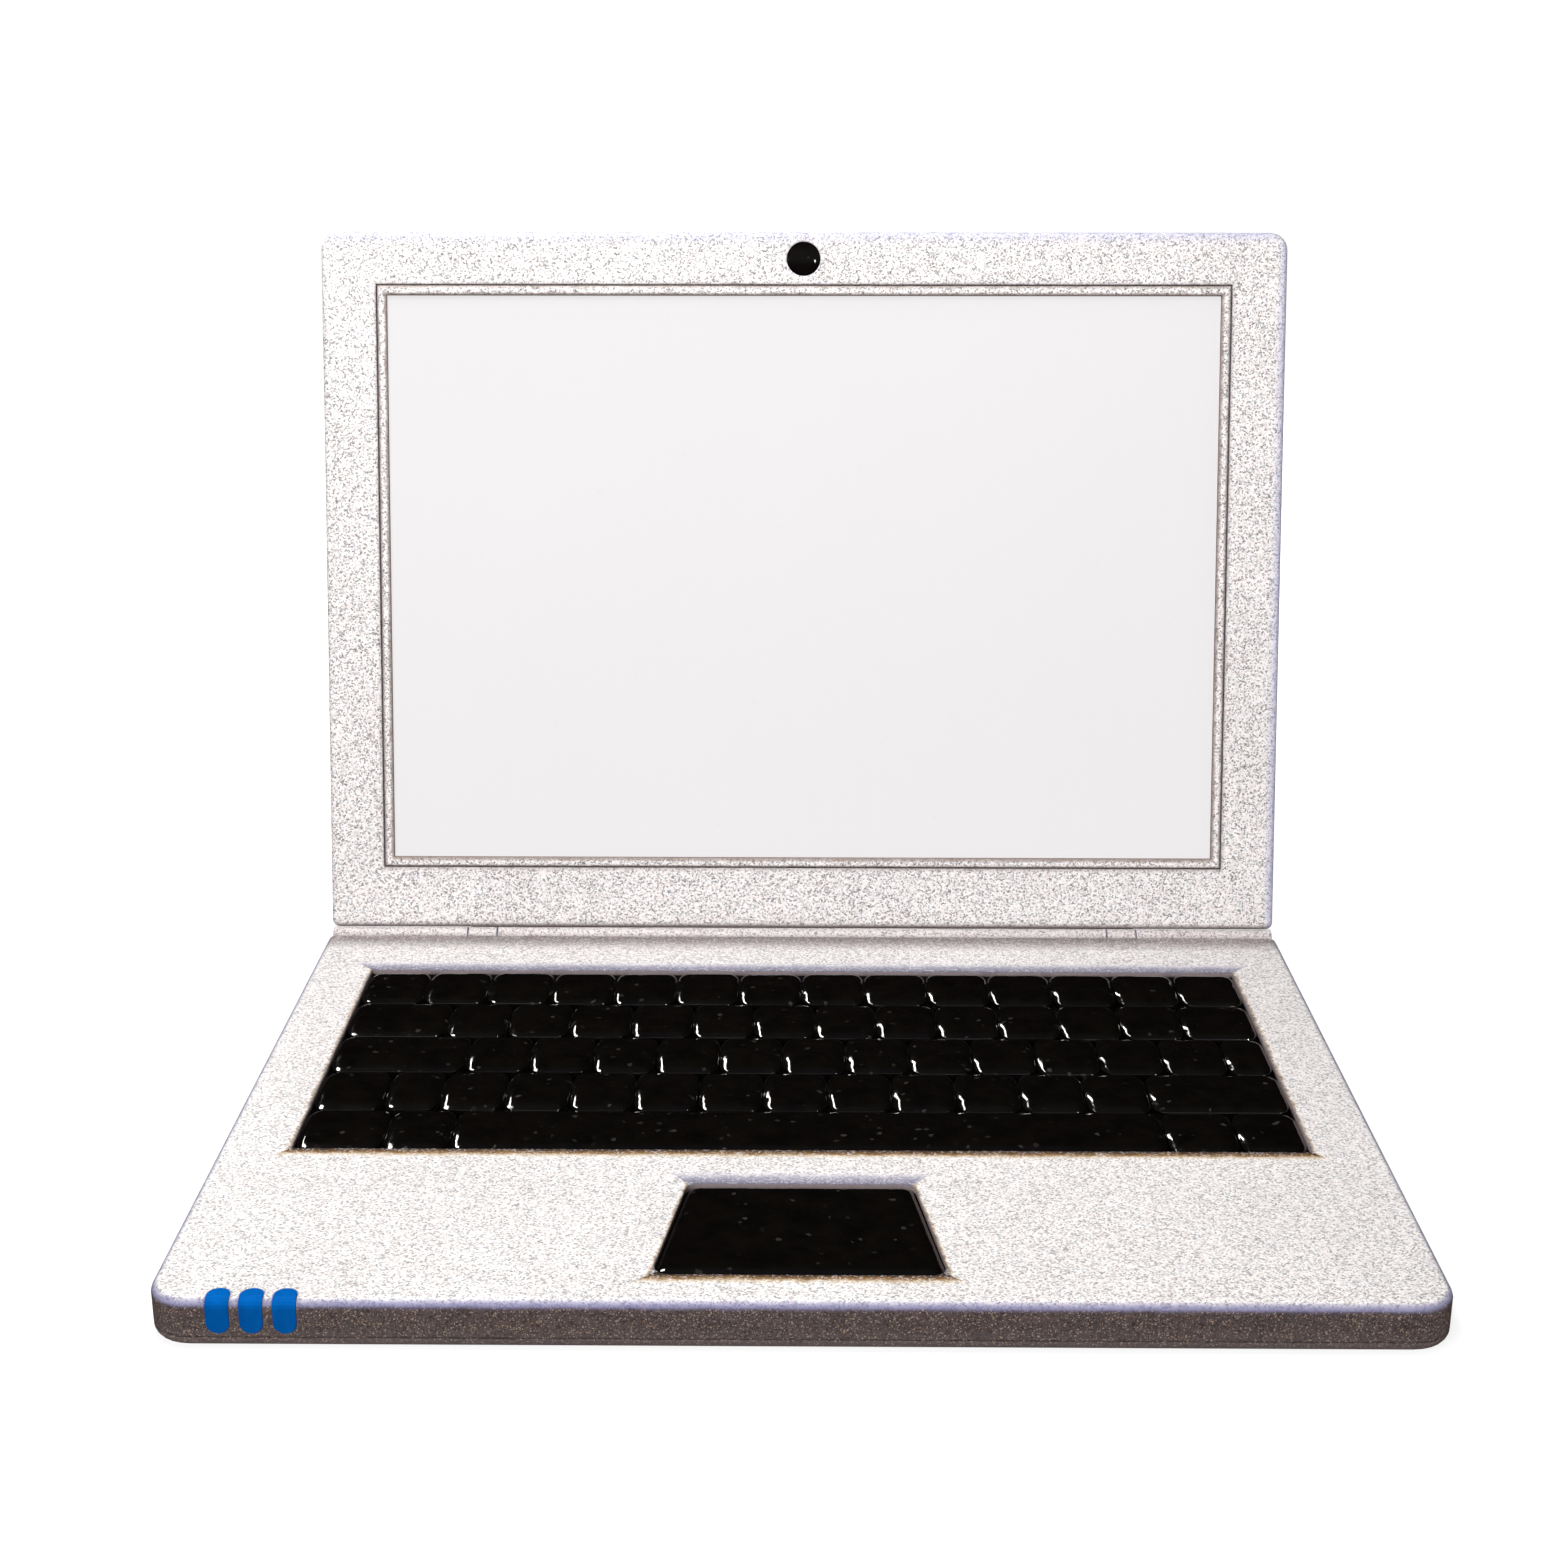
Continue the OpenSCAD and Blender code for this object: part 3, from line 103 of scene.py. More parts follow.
class Graph:
    """The node tree of a material or world, built one node at a time."""

    def __init__(self, owner, output="OutputMaterial"):
        owner.use_nodes = True
        self.owner = owner
        self.tree = owner.node_tree
        self.tree.nodes.clear()
        self.out = self.node(output)
        self.coord = self.node("TexCoord")

    def node(self, kind, sockets=None, **props):
        n = self.tree.nodes.new("ShaderNode" + kind)
        for key, value in props.items():
            setattr(n, key, value)
        for key, value in (sockets or {}).items():
            self.put(n.inputs[key], value)
        return n

    def put(self, socket, value):
        if isinstance(value, bpy.types.NodeSocket):
            self.tree.links.new(value, socket)
        elif isinstance(value, (tuple, list)) and len(value) == 3 and socket.type == "RGBA":
            socket.default_value = (*value, 1.0)
        else:
            socket.default_value = value

    def axes(self, vector=None):
        """The X, Y and Z of a vector, which is the place on the object when none is given."""
        return self.node("SeparateXYZ", {"Vector": vector or self.coord.outputs["Object"]}).outputs

    def object_coord(self, stretch=(1, 1, 1)):
        m = self.node("Mapping", {"Vector": self.coord.outputs["Object"]})
        m.inputs["Scale"].default_value = stretch
        return m.outputs["Vector"]

    def noise(self, scale, detail=3.0, rough=0.55, stretch=(1, 1, 1)):
        n = self.node("TexNoise", {"Vector": self.object_coord(stretch), "Scale": scale,
                                   "Detail": detail, "Roughness": rough})
        return n.outputs["Fac"]

    def flakes(self, scale):
        """A different random colour in every cell."""
        n = self.node("TexVoronoi", {"Vector": self.object_coord(), "Scale": scale}, feature="F1")
        return n.outputs["Color"]

    def channel(self, color, which):
        return self.node("SeparateColor", {"Color": color}).outputs[which]

    def ramp(self, fac, *stops):
        """A colour ramp; a stop's second value is a colour or a grey level."""
        n = self.node("ValToRGB", {"Fac": fac})
        e = n.color_ramp.elements
        while len(e) < len(stops):
            e.new(0.5)
        for i, (pos, color) in enumerate(stops):
            e[i].position = pos
            c = color if isinstance(color, (tuple, list)) else (color, color, color)
            e[i].color = (*c, 1.0)
        return n.outputs["Color"]

    def math(self, op, *values, clamp=False):
        n = self.node("Math", operation=op, use_clamp=clamp)
        for socket, value in zip(n.inputs, values):
            self.put(socket, value)
        return n.outputs[0]

    def mix(self, fac, a, b, blend="MIX"):
        n = self.node("Mix", data_type="RGBA", blend_type=blend)
        self.put(n.inputs[0], fac)
        self.put(n.inputs[6], a)
        self.put(n.inputs[7], b)
        return n.outputs[2]

    def multiply(self, color, other):
        return self.mix(1.0, color, other, "MULTIPLY")

    def for_camera(self, shader, others):
        """One shader for what the camera sees, and another for every other ray."""
        is_seen = self.node("LightPath").outputs["Is Camera Ray"]
        return self.node("MixShader", {0: is_seen, 1: others, 2: shader}).outputs[0]

    def rounded(self, radius):
        """The normal as if every edge were rounded."""
        return self.node("Bevel", {"Radius": radius}, samples=4).outputs["Normal"]

    def edge(self, radius):
        """1 on convex or concave edges, 0 on flat faces."""
        flat = self.node("NewGeometry").outputs["Normal"]
        dot = self.node("VectorMath", {0: self.rounded(radius), 1: flat}, operation="DOT_PRODUCT")
        return self.ramp(self.math("SUBTRACT", 1.0, dot.outputs["Value"]), (0.02, 0.0), (0.25, 1.0))

    def crease(self, distance, low=0.3, high=0.95):
        """1 deep in grooves and along joins, 0 in the open."""
        ao = self.node("AmbientOcclusion", {"Distance": distance}, samples=4)
        return self.ramp(ao.outputs["AO"], (low, 1.0), (high, 0.0))

    def bump(self, height, strength, distance, base=None):
        n = self.node("Bump", {"Height": height, "Strength": strength, "Distance": distance})
        if base is not None:
            self.put(n.inputs["Normal"], base)
        return n.outputs["Normal"]

    def finish(self, color, roughness, normal, **sockets):
        bsdf = self.node("BsdfPrincipled", {"Base Color": color, "Roughness": roughness,
                                            "Normal": normal})
        for key, value in sockets.items():
            self.put(bsdf.inputs[key.replace("_", " ")], value)
        return self.close(bsdf.outputs[0])

    def close(self, shader):
        """Leads a shader to the output and gives back the finished material or world."""
        self.tree.links.new(shader, self.out.inputs["Surface"])
        return self.owner


def new_material(name):
    return Graph(bpy.data.materials.new(name))


# ---- Silver paint ----

def painted_shade_around_keys(g, color, fine):
    """Painted shade on the deck: brown ahead of and beside the keys and pad, cool behind them,
    brown at the hinge.
    """
    axes = g.axes()
    ragged = g.math("MULTIPLY_ADD", g.noise(330, 4, 0.6), 2.8 * MM, -1.4 * MM)
    level = g.math("MULTIPLY", g.math("GREATER_THAN", axes["Z"], DECK_Z),
                   g.ramp(g.channel(fine, "Red"), (0.70, 1.0), (0.95, 0.5)))
    for front_w, rear_w, y0, y1 in ((KEYS_W, KEYS_W, KEYS_FRONT, KEYS_REAR),
                                    (PAD_FRONT_W, PAD_REAR_W, PAD_LOW[1], PAD_HIGH[1])):
        slope = (front_w - rear_w) / 2 / (y1 - y0)
        edge = g.math("MULTIPLY_ADD", axes["Y"], slope, -front_w / 2 - slope * y0)
        beside = g.math("ADD", g.math("ABSOLUTE", axes["X"]), edge)
        ahead = g.math("SUBTRACT", y0, axes["Y"])
        behind = g.math("SUBTRACT", axes["Y"], y1)
        for first, others, reach, tones, amount in (
                (ahead, (beside, behind), 4.8 * MM, BROWN_SHADE_TONES, 0.97),
                (behind, (beside, ahead), 7.6 * MM, COOL_SHADE_TONES, 0.82),
                (beside, (ahead, behind), 1.6 * MM, BROWN_SHADE_TONES, 0.70)):
            far = g.math("MAXIMUM", first, g.math("MAXIMUM", *others))
            away = g.math("DIVIDE", g.math("ADD", far, ragged), reach)
            near = g.ramp(away, (0.5, 1.0), (1.0, 0.0))
            own = g.math("GREATER_THAN", first, g.math("MAXIMUM", *others))
            mask = g.math("MULTIPLY", g.math("MULTIPLY", near, own),
                          g.math("MULTIPLY", level, amount))
            color = g.mix(mask, color, g.ramp(away, *tones))
    # Painted shade in the crease at the hinge: two dark lines across the rear of the deck
    from_rear = g.math("ADD", g.math("SUBTRACT", DECK_REAR, axes["Y"]),
                       g.math("MULTIPLY", ragged, 0.6))
    line = g.ramp(g.math("DIVIDE", from_rear, 20 * MM), (0.10, 0.75), (0.19, 0.10), (0.27, 0.05),
                  (0.36, 0.92), (0.52, 0.80), (0.90, 0.0))
    return g.mix(g.math("MULTIPLY", line, level), color, HINGE_SHADE_TONE)


def trim_groove_shade(g, color, part):
    """Painted shade in the grooves: brown lines inside ("trim") or outside ("bezel") the outline of
    the screen's trim.
    """
    axes = g.axes()
    across = g.math("SUBTRACT", g.math("ABSOLUTE", axes["X"]), TRIM_HALF_W)
    from_middle = g.math("ABSOLUTE", g.math("SUBTRACT", axes["Z"], TRIM_MID_Z))
    beyond = g.math("MAXIMUM", across, g.math("SUBTRACT", from_middle, TRIM_HALF_H))
    ragged = g.math("MULTIPLY_ADD", g.noise(240, 5, 0.65), 1.6 * MM,
                    g.math("SUBTRACT", beyond, 0.8 * MM))
    if part == "trim":
        line = g.ramp(g.math("DIVIDE", ragged, -3.2 * MM), (0.0, 0.8), (0.20, 0.40), (0.34, 0.0),
                      (0.62, 0.0), (0.80, 0.62), (1.0, 0.85))
        return g.mix(line, color, TRIM_GROOVE_SHADE_TONE)
    line = g.ramp(g.math("DIVIDE", ragged, 1.6 * MM), (0.0, 0.75), (0.45, 0.30), (1.0, 0.0))
    return g.mix(line, color, BEZEL_GROOVE_SHADE_TONE)


def lid_edge_shade(g, color):
    """A painted cool shade band along the lid's right and top edges."""
    def band(axis, start, most):
        along = g.math("MULTIPLY_ADD", axis, 1 / LID_SHADE_REACH, -start / LID_SHADE_REACH)
        return g.ramp(along, (0.0, 0.0), (1.0, most))

    axes = g.axes()
    bands = g.math("MAXIMUM", band(axes["X"], LID_SHADE_FROM_X, 0.85),
                   band(axes["Z"], LID_SHADE_FROM_Z, 0.6))
    patchy = g.ramp(g.noise(300, 4), (0.3, 0.6), (0.6, 1.0))
    return g.mix(g.math("MULTIPLY", bands, patchy), color, LID_EDGE_SHADE_TONE)


def painted_side_shade(g, color, amount):
    """Painted shade: dark brown on upright faces below the deck, with lighter flecks for the silver
    flakes painted as glints, and a painted cool shade along the deck's rim.

    Gives the colour, the specular level and the metallic level, which are low on the shaded faces.
    """
    up = g.axes(g.rounded(1.2 * MM))["Z"]
    patchy = g.math("MULTIPLY_ADD", g.noise(420, 3, 0.6, (0.5, 0.5, 1)), 0.24,
                    g.math("SUBTRACT", up, 0.12))
    low = g.math("LESS_THAN", g.axes()["Z"], DARK_BELOW)
    side = g.math("MAXIMUM", g.ramp(patchy, (0.30, 1.0), (0.62, 0.0)), low)
    # Lighter flecks: the silver flakes, painted as glints on the shaded faces
    fleck_glints = g.ramp(g.channel(g.flakes(3400), "Red"), (0.84, 0.0), (0.99, 0.9))
    shade_tone = g.ramp(g.noise(260, 6, 0.7, (0.5, 0.5, 1.4)), (0.3, SIDE_SHADE_DARK), (0.7, SIDE_SHADE_LIGHT))
    color = g.mix(g.math("MULTIPLY", side, amount), color, g.mix(fleck_glints, shade_tone, FLECK_GLINT_TONE))
    bare = g.math("SUBTRACT", 1.0, side, clamp=True)
    # Painted cool shade along the deck's rim
    rim = g.ramp(patchy, (0.16, 0.0), (0.45, 1.0), (0.84, 0.68), (0.975, 0.0))
    rim = g.math("MULTIPLY", rim, g.math("SUBTRACT", 0.88, low, clamp=True))
    return (g.mix(rim, color, RIM_SHADE_TONE), g.math("MULTIPLY_ADD", bare, 0.42, 0.08),
            g.math("MULTIPLY", bare, 0.3))


def silver_paint(name, crease_shade=1.0, dark_sides=0.0, brown_all_over=0.0, dark=0.17, part=None):
    """Sprayed silver paint: fine flakes, painted brown shade in the grooves, painted cool sheen on
    edges.

    wash is the strength of the painted shade in the grooves, dark_sides is how much painted shade
    darkens the upright faces below the deck, stain is how brown the whole piece is, and dark is the
    tone of the darkest flakes. part is "trim", "bezel" or "cover" for the pieces of the lid.
    """
    g = new_material(name)
    shine, body = 0.5, 0.3
    fine = g.flakes(2200)
    speck = g.ramp(g.channel(fine, "Red"), (0.0, dark), (0.25, 0.48 + dark / 2), (0.5, 0.91),
                   (1.0, 1.0))
    color = g.multiply(speck, g.ramp(g.channel(fine, "Green"), *FLAKE_TONES))
    color = g.multiply(color, g.ramp(g.channel(g.flakes(640), "Red"), (0.0, 0.93), (1.0, 1.0)))
    color = g.multiply(color, g.ramp(g.noise(30, 5, 0.6), (0.3, 0.93), (0.7, 1.0)))
    rubbed = g.ramp(g.noise(70, 7, 0.72, (1, 3, 3)), (0.56, 0.0), (0.78, 1.0))
    color = g.mix(g.math("MULTIPLY", rubbed, 0.16), color, RUBBED_TONE)
    if dark_sides:
        color, shine, body = painted_side_shade(g, color, dark_sides)
        color = painted_shade_around_keys(g, color, fine)
    # Painted shade in the grooves, and a broader, fainter painted shade around them
    color = g.mix(g.math("MULTIPLY", g.crease(2.4 * MM), 0.70 * crease_shade), color, GROOVE_SHADE_TONE)
    color = g.mix(g.math("MULTIPLY", g.crease(8 * MM, 0.35, 0.85), 0.30 * crease_shade), color, BROAD_SHADE_TONE)
    if brown_all_over:
        color = g.mix(brown_all_over, color, ALL_OVER_BROWN_TONE)
    if not dark_sides:
        # Painted cool sheen on the rounded edges
        color = g.mix(g.math("MULTIPLY", g.edge(1.2 * MM), 0.45), color, EDGE_SHEEN_TONE)
    if part in ("trim", "bezel"):
        color = trim_groove_shade(g, color, part)
    if part in ("bezel", "cover"):
        color = lid_edge_shade(g, color)
    # Painted shade: the lid's cover is a darker copy of the same silver
    if part == "cover":
        color = g.multiply(color, COVER_SHADE_DIM)
    rough = g.ramp(g.channel(fine, "Blue"), (0.0, 0.30), (1.0, 0.52))
    grain = g.mix(0.5, g.channel(fine, "Blue"), g.noise(900, 2, 0.5))
    waves = g.bump(g.noise(60, 4), 0.15, 0.7 * MM, g.rounded(1.1 * MM))
    normal = g.bump(grain, 0.25, 0.2 * MM, waves)
    return g.finish(color, rough, normal, Metallic=body, Specular_IOR_Level=shine)


# ---- Other materials ----

def black_enamel(name, wave=1.0, shine=0.5, coat=1.0, smooth=0.07):
    """Thick glossy black enamel with slow waves and a little dust."""
    g = new_material(name)
    color = g.ramp(g.noise(160, 4), (0.3, (0.0011, 0.0009, 0.0007)),
                   (0.7, (0.0026, 0.0021, 0.0016)))
    color = g.mix(g.math("MULTIPLY", g.edge(0.4 * MM), 0.35), color, (0.006, 0.005, 0.004))
    dust = g.ramp(g.channel(g.flakes(900), "Red"), (0.990, 0.0), (1.0, 1.0))
    color = g.mix(g.math("MULTIPLY", dust, 0.2), color, (0.12, 0.11, 0.10))
    rough = g.ramp(g.noise(300, 5), (0.3, smooth), (0.75, 2 * smooth))
    ripples = g.bump(g.noise(420, 2), 0.12 * wave, 0.3 * MM)
    normal = g.bump(g.noise(110, 2, 0.4), 0.5 * wave, 1.2 * MM, ripples)
    return g.finish(color, rough, normal, Specular_IOR_Level=shine, Coat_Weight=coat,
                    Coat_Roughness=0.05)


def blue_paint(name):
    """Matt blue, a little uneven, darker on its edges."""
    g = new_material(name)
    color = g.ramp(g.noise(420, 4, 0.6, (1, 1, 0.4)), (0.3, (0.0, 0.060, 0.235)),
                   (0.6, (0.0, 0.073, 0.28)), (0.8, (0.0, 0.090, 0.33)))
    color = g.mix(g.math("MULTIPLY", g.edge(0.5 * MM), 0.5), color, (0.0, 0.046, 0.20))
    rough = g.ramp(g.noise(500, 3), (0.3, 0.35), (0.7, 0.5))
    normal = g.bump(g.noise(700, 3), 0.25, 0.3 * MM)
    return g.finish(color, rough, normal, Specular_IOR_Level=0.05)


def screen_face(name):
    """The lit, blank screen: smooth, with very faint brush marks and a few specks."""
    g = new_material(name)
    cloud = g.noise(14, 4, 0.5)
    color = g.ramp(cloud, (0.3, (0.145, 0.141, 0.143)), (0.7, (0.148, 0.144, 0.146)))
    brushed = g.ramp(g.noise(120, 3, 0.5, (3.0, 0.4, 0.4)), (0.45, 0.0), (0.8, 1.0))
    color = g.mix(g.math("MULTIPLY", brushed, 0.05), color, (0.20, 0.195, 0.20))
    specks = g.ramp(g.channel(g.flakes(900), "Red"), (0.99995, 0.0), (0.99999, 1.0))
    color = g.mix(g.math("MULTIPLY", specks, 0.6), color, (0.12, 0.12, 0.13))
    # Painted shade where the screen meets its frame
    color = g.mix(g.math("MULTIPLY", g.crease(1.2 * MM), 0.5), color, (0.20, 0.17, 0.19))
    rough = g.ramp(cloud, (0.3, 0.34), (0.7, 0.46))
    normal = g.bump(g.noise(260, 3, 0.5, (1.5, 0.6, 0.6)), 0.05, 0.3 * MM)
    return g.finish(color, rough, normal, Specular_IOR_Level=0.2,
                    Emission_Color=(0.86, 0.845, 0.852), Emission_Strength=0.735)


def tinted(color, factor, lift=0.0):
    return tuple(min(1.0, c * factor + lift) for c in color)


def metal(name, dark, light, rough=0.35, scale=220, stretch=(1, 8, 1)):
    """Bare sheet or turned metal with drawn lines."""
    g = new_material(name)
    lines = g.noise(scale, 5, 0.6, stretch)
    color = g.ramp(lines, (0.3, dark), (0.7, light))
    color = g.mix(g.math("MULTIPLY", g.edge(0.3 * MM), 0.5), color, tinted(light, 1.35))
    # Painted shade in the creases
    color = g.mix(g.math("MULTIPLY", g.crease(1.2 * MM), 0.5), color, tinted(dark, 0.35))
    roughness = g.ramp(g.noise(scale * 2, 4), (0.3, rough), (0.7, rough + 0.18))
    return g.finish(color, roughness, g.bump(lines, 0.12, 0.2 * MM), Metallic=0.9)


def plastic(name, dark, light, rough=0.5, scale=900, metallic=0.0):
    """Moulded plastic, rubber or board lacquer with a fine grain."""
    g = new_material(name)
    grain = g.noise(scale, 4, 0.6)
    color = g.ramp(g.noise(40, 4), (0.3, dark), (0.7, light))
    color = g.mix(g.math("MULTIPLY", g.edge(0.4 * MM), 0.4), color, tinted(light, 1.5, 0.02))
    # Painted shade in the creases
    color = g.mix(g.math("MULTIPLY", g.crease(1.5 * MM), 0.45), color, tinted(dark, 0.4))
    roughness = g.ramp(grain, (0.3, rough - 0.08), (0.7, rough + 0.12))
    return g.finish(color, roughness, g.bump(grain, 0.2, 0.2 * MM), Metallic=metallic,
                    Specular_IOR_Level=0.4)


SILVER = silver_paint("silver_paint", part="cover")
BEZEL_SILVER = silver_paint("bezel_silver", part="bezel")
BASE_SILVER = silver_paint("base_silver", dark_sides=0.94, dark=0.32)
TRIM_SILVER = silver_paint("trim_silver", 1.2, part="trim")
HINGE_SILVER = silver_paint("hinge_silver", 1.1, brown_all_over=0.4)
ENAMEL = black_enamel("black_enamel")
LENS = black_enamel("lens_black", wave=0.0, shine=0.14, coat=0.0, smooth=0.025)
BLUE = blue_paint("blue_paint")
SCREEN = screen_face("screen_face")
STEEL = metal("steel", (0.36, 0.36, 0.38), (0.58, 0.58, 0.60))
BLACK_PLATE = plastic("black_plate", (0.004, 0.004, 0.004), (0.009, 0.008, 0.008),
                      0.45, 700, 0.2)
COPPER = metal("copper", (0.45, 0.20, 0.10), (0.72, 0.38, 0.22), 0.3)
FOIL = metal("cell_foil", (0.40, 0.41, 0.43), (0.62, 0.63, 0.66), 0.4, 60, (1, 1, 1))
RUBBER = plastic("foot_rubber", (0.012, 0.012, 0.012), (0.03, 0.03, 0.03), 0.7)
DOME_RUBBER = plastic("dome_rubber", (0.003, 0.003, 0.003), (0.008, 0.008, 0.008), 0.6)
LINK_PLASTIC = plastic("link_plastic", (0.004, 0.004, 0.004), (0.009, 0.009, 0.009), 0.5)
DARK_PLASTIC = plastic("dark_plastic", (0.012, 0.012, 0.014), (0.035, 0.035, 0.038), 0.5)
BOARD = plastic("board_lacquer", (0.010, 0.075, 0.035), (0.03, 0.15, 0.075), 0.4, 500)
SILICON = plastic("silicon", (0.05, 0.055, 0.065), (0.10, 0.11, 0.13), 0.2)

LOOKS = {
    SILVER: ["lid_cover"],
    BEZEL_SILVER: ["screen_bezel"],
    BASE_SILVER: ["top_case", "bottom_cover"],
    TRIM_SILVER: ["screen_trim"],
    HINGE_SILVER: ["hinge_cover", "hinge_base_left", "hinge_base_right", "hinge_lid_left",
                   "hinge_lid_right"],
    LENS: ["camera_lens"],
    BLUE: ["status_lights"],
    SCREEN: ["display_glass"],
    STEEL: ["cover_screws", "hinge_screws", "lid_screws", "usb_ports", "display_chassis"],
    BLACK_PLATE: ["keyboard_plate", "trackpad_frame"],
    COPPER: ["heat_pipe", "heat_sink", "antennas"],
    FOIL: ["battery_cells"],
    RUBBER: ["rubber_feet"],
    DOME_RUBBER: ["dome_sheet"],
    LINK_PLASTIC: ["key_scissors"],
    DARK_PLASTIC: ["battery_tray", "speaker_left", "speaker_right", "fan_housing", "fan_rotor",
                   "power_jack", "audio_jack", "trackpad_switch", "memory_chips", "display_cable"],
    BOARD: ["main_board", "status_board", "camera_board", "storage_drive", "wireless_card"],
    SILICON: ["processor"],
}
SHARP_ANGLE = math.radians(32)
for look, names in LOOKS.items():
    for node in names:
        mesh = NODES[node].data
        mesh.materials.clear()
        mesh.materials.append(look)
        mesh.shade_smooth()
        mesh.set_sharp_from_angle(angle=SHARP_ANGLE)


# ---- Soft, rounded pieces ----

def arc_corner(a, p, b, r, steps):
    """Points of the arc that rounds corner p between its neighbours a and b."""
    u, v = (a - p).normalized(), (b - p).normalized()
    half = u.angle(v) / 2
    c = p + (u + v).normalized() * (r / math.sin(half))
    s = p + u * (r / math.tan(half)) - c
    turn = (math.pi - 2 * half) * (1 if u.x * v.y - u.y * v.x < 0 else -1)
    return [c + Vector((s.x * math.cos(turn * i / steps) - s.y * math.sin(turn * i / steps),
                        s.x * math.sin(turn * i / steps) + s.y * math.cos(turn * i / steps)))
            for i in range(steps + 1)]


def ring(corners, radius, inset, steps):
    """Rounded outline through corners (counter-clockwise), drawn in by inset."""
    n = len(corners)
    lines = []
    for i in range(n):
        a, b = corners[i], corners[(i + 1) % n]
        d = (b - a).normalized()
        lines.append((a + Vector((-d.y, d.x)) * inset, d))
    moved = []
    for i in range(n):
        (p, d), (q, e) = lines[i - 1], lines[i]
        t = ((q.x - p.x) * e.y - (q.y - p.y) * e.x) / (d.x * e.y - d.y * e.x)
        moved.append(p + d * t)
    points = []
    for i in range(n):
        points += arc_corner(moved[i - 1], moved[i], moved[(i + 1) % n], radius, steps)
    return points


FRONT_SHARE = 0.42


def lean_left_shoulder(mesh, lean):
    """Turns the shading of a left shoulder, near its front, as thick enamel sags there."""
    ys = [v.co.y for v in mesh.vertices]
    limit = min(ys) + FRONT_SHARE * (max(ys) - min(ys))
    normals = []
    for v, n in zip(mesh.vertices, mesh.vertex_normals):
        n = n.vector.copy()
        if v.co.y < limit and n.x < -0.1 and n.z > 0.2:
            n.y = min(n.y, n.x * lean)
            n.normalize()
        normals.append(n)
    mesh.normals_split_custom_set_from_vertices(normals)


MIN_CORNER = 0.35 * MM


def pillow(name, corners, radius, profile, body, steps, wobble, seed, depth=1.0, lean=0.0):
    """Closed soft-edged enamel slab that rides on a body.

    profile is a list of (inset, height), from its lower rim to its crown, and each level is shifted
    at random by up to wobble. depth stretches its insets and corner roundings along Y.
    """
    rng = random.Random(seed)
    corners = [Vector((c[0], c[1] / depth)) for c in corners]
    verts, faces = [], []
    shift = [(rng.uniform(-1, 1) * wobble, rng.uniform(-1, 1) * wobble) for _ in profile]
    for (inset, z), (shift_x, shift_y) in zip(profile, shift):
        for p in ring(corners, max(radius - inset, MIN_CORNER), inset, steps):
            verts.append((p.x + shift_x, p.y * depth + shift_y, z))
    n = len(verts) // len(profile)
    for k in range(len(profile) - 1):
        for i in range(n):
            j = (i + 1) % n
            faces.append((k * n + i, k * n + j, (k + 1) * n + j, (k + 1) * n + i))
    faces.append(tuple(range(n - 1, -1, -1)))
    faces.append(tuple((len(profile) - 1) * n + i for i in range(n)))
    mesh = bpy.data.meshes.new(name)
    mesh.from_pydata(verts, [], faces)
    mesh.validate()
    mesh.shade_smooth()
    if lean:
        lean_left_shoulder(mesh, lean)
    mesh.materials.append(ENAMEL)
    o = bpy.data.objects.new(name, mesh)
    bpy.context.scene.collection.objects.link(o)
    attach(o, body)
    return o


def cushion(low, top, slope, reach, rim_r, crown, crown_reach):
    """From a piece's foot, over its tight rim and long shoulder, to its slightly domed top.

    slope is the tilt in degrees of the shoulder where it meets the rim, and reach is how far the
    shoulder runs in; crown is the rise of the dome and crown_reach how far that runs in.
    """
    end = math.radians(slope)
    big_r = reach / math.sin(end)
    rim_in = rim_r * (1 - math.sin(end))
    rim_z = top - crown - big_r * (1 - math.cos(end)) - rim_r * math.cos(end)
    points = [(0.0, low), (0.0, rim_z)]
    for i in range(1, 5):
        t = (math.pi / 2 - end) * i / 4
        points.append((rim_r * (1 - math.cos(t)), rim_z + rim_r * math.sin(t)))
    for i in range(1, 9):
        t = end * (1 - i / 8)
        points.append((rim_in + big_r * (math.sin(end) - math.sin(t)),
                       top - crown - big_r * (1 - math.cos(t))))
    for across, up in ((0.35, 0.5), (0.7, 0.85), (1.0, 1.0)):
        points.append((rim_in + reach + crown_reach * across, top - crown * (1 - up)))
    return points


# Each row from the rear: widths in units, and which node holds how many of its keys
KEY_ROWS = [
    ([1.0] * 14, [("keys_number_row", 13), ("key_backspace", 1)]),
    ([1.54] + [0.945] * 12 + [1.12],
     [("key_tab", 1), ("keys_upper_row", 12), ("key_backslash", 1)]),
    ([2.0] + [0.945] * 12 + [0.66],
     [("key_caps_lock", 1), ("keys_home_row", 12), ("key_enter", 1)]),
    ([1.0, 0.8] + [0.93] * 11 + [1.97],
     [("key_shift_left", 1), ("keys_lower_row", 12), ("key_shift_right", 1)]),
    ([1.2, 0.93, 9.95, 1.0, 0.92],
     [("key_control", 1), ("key_alt_left", 1), ("key_space", 1), ("key_alt_right", 1),
      ("key_menu", 1)]),
]

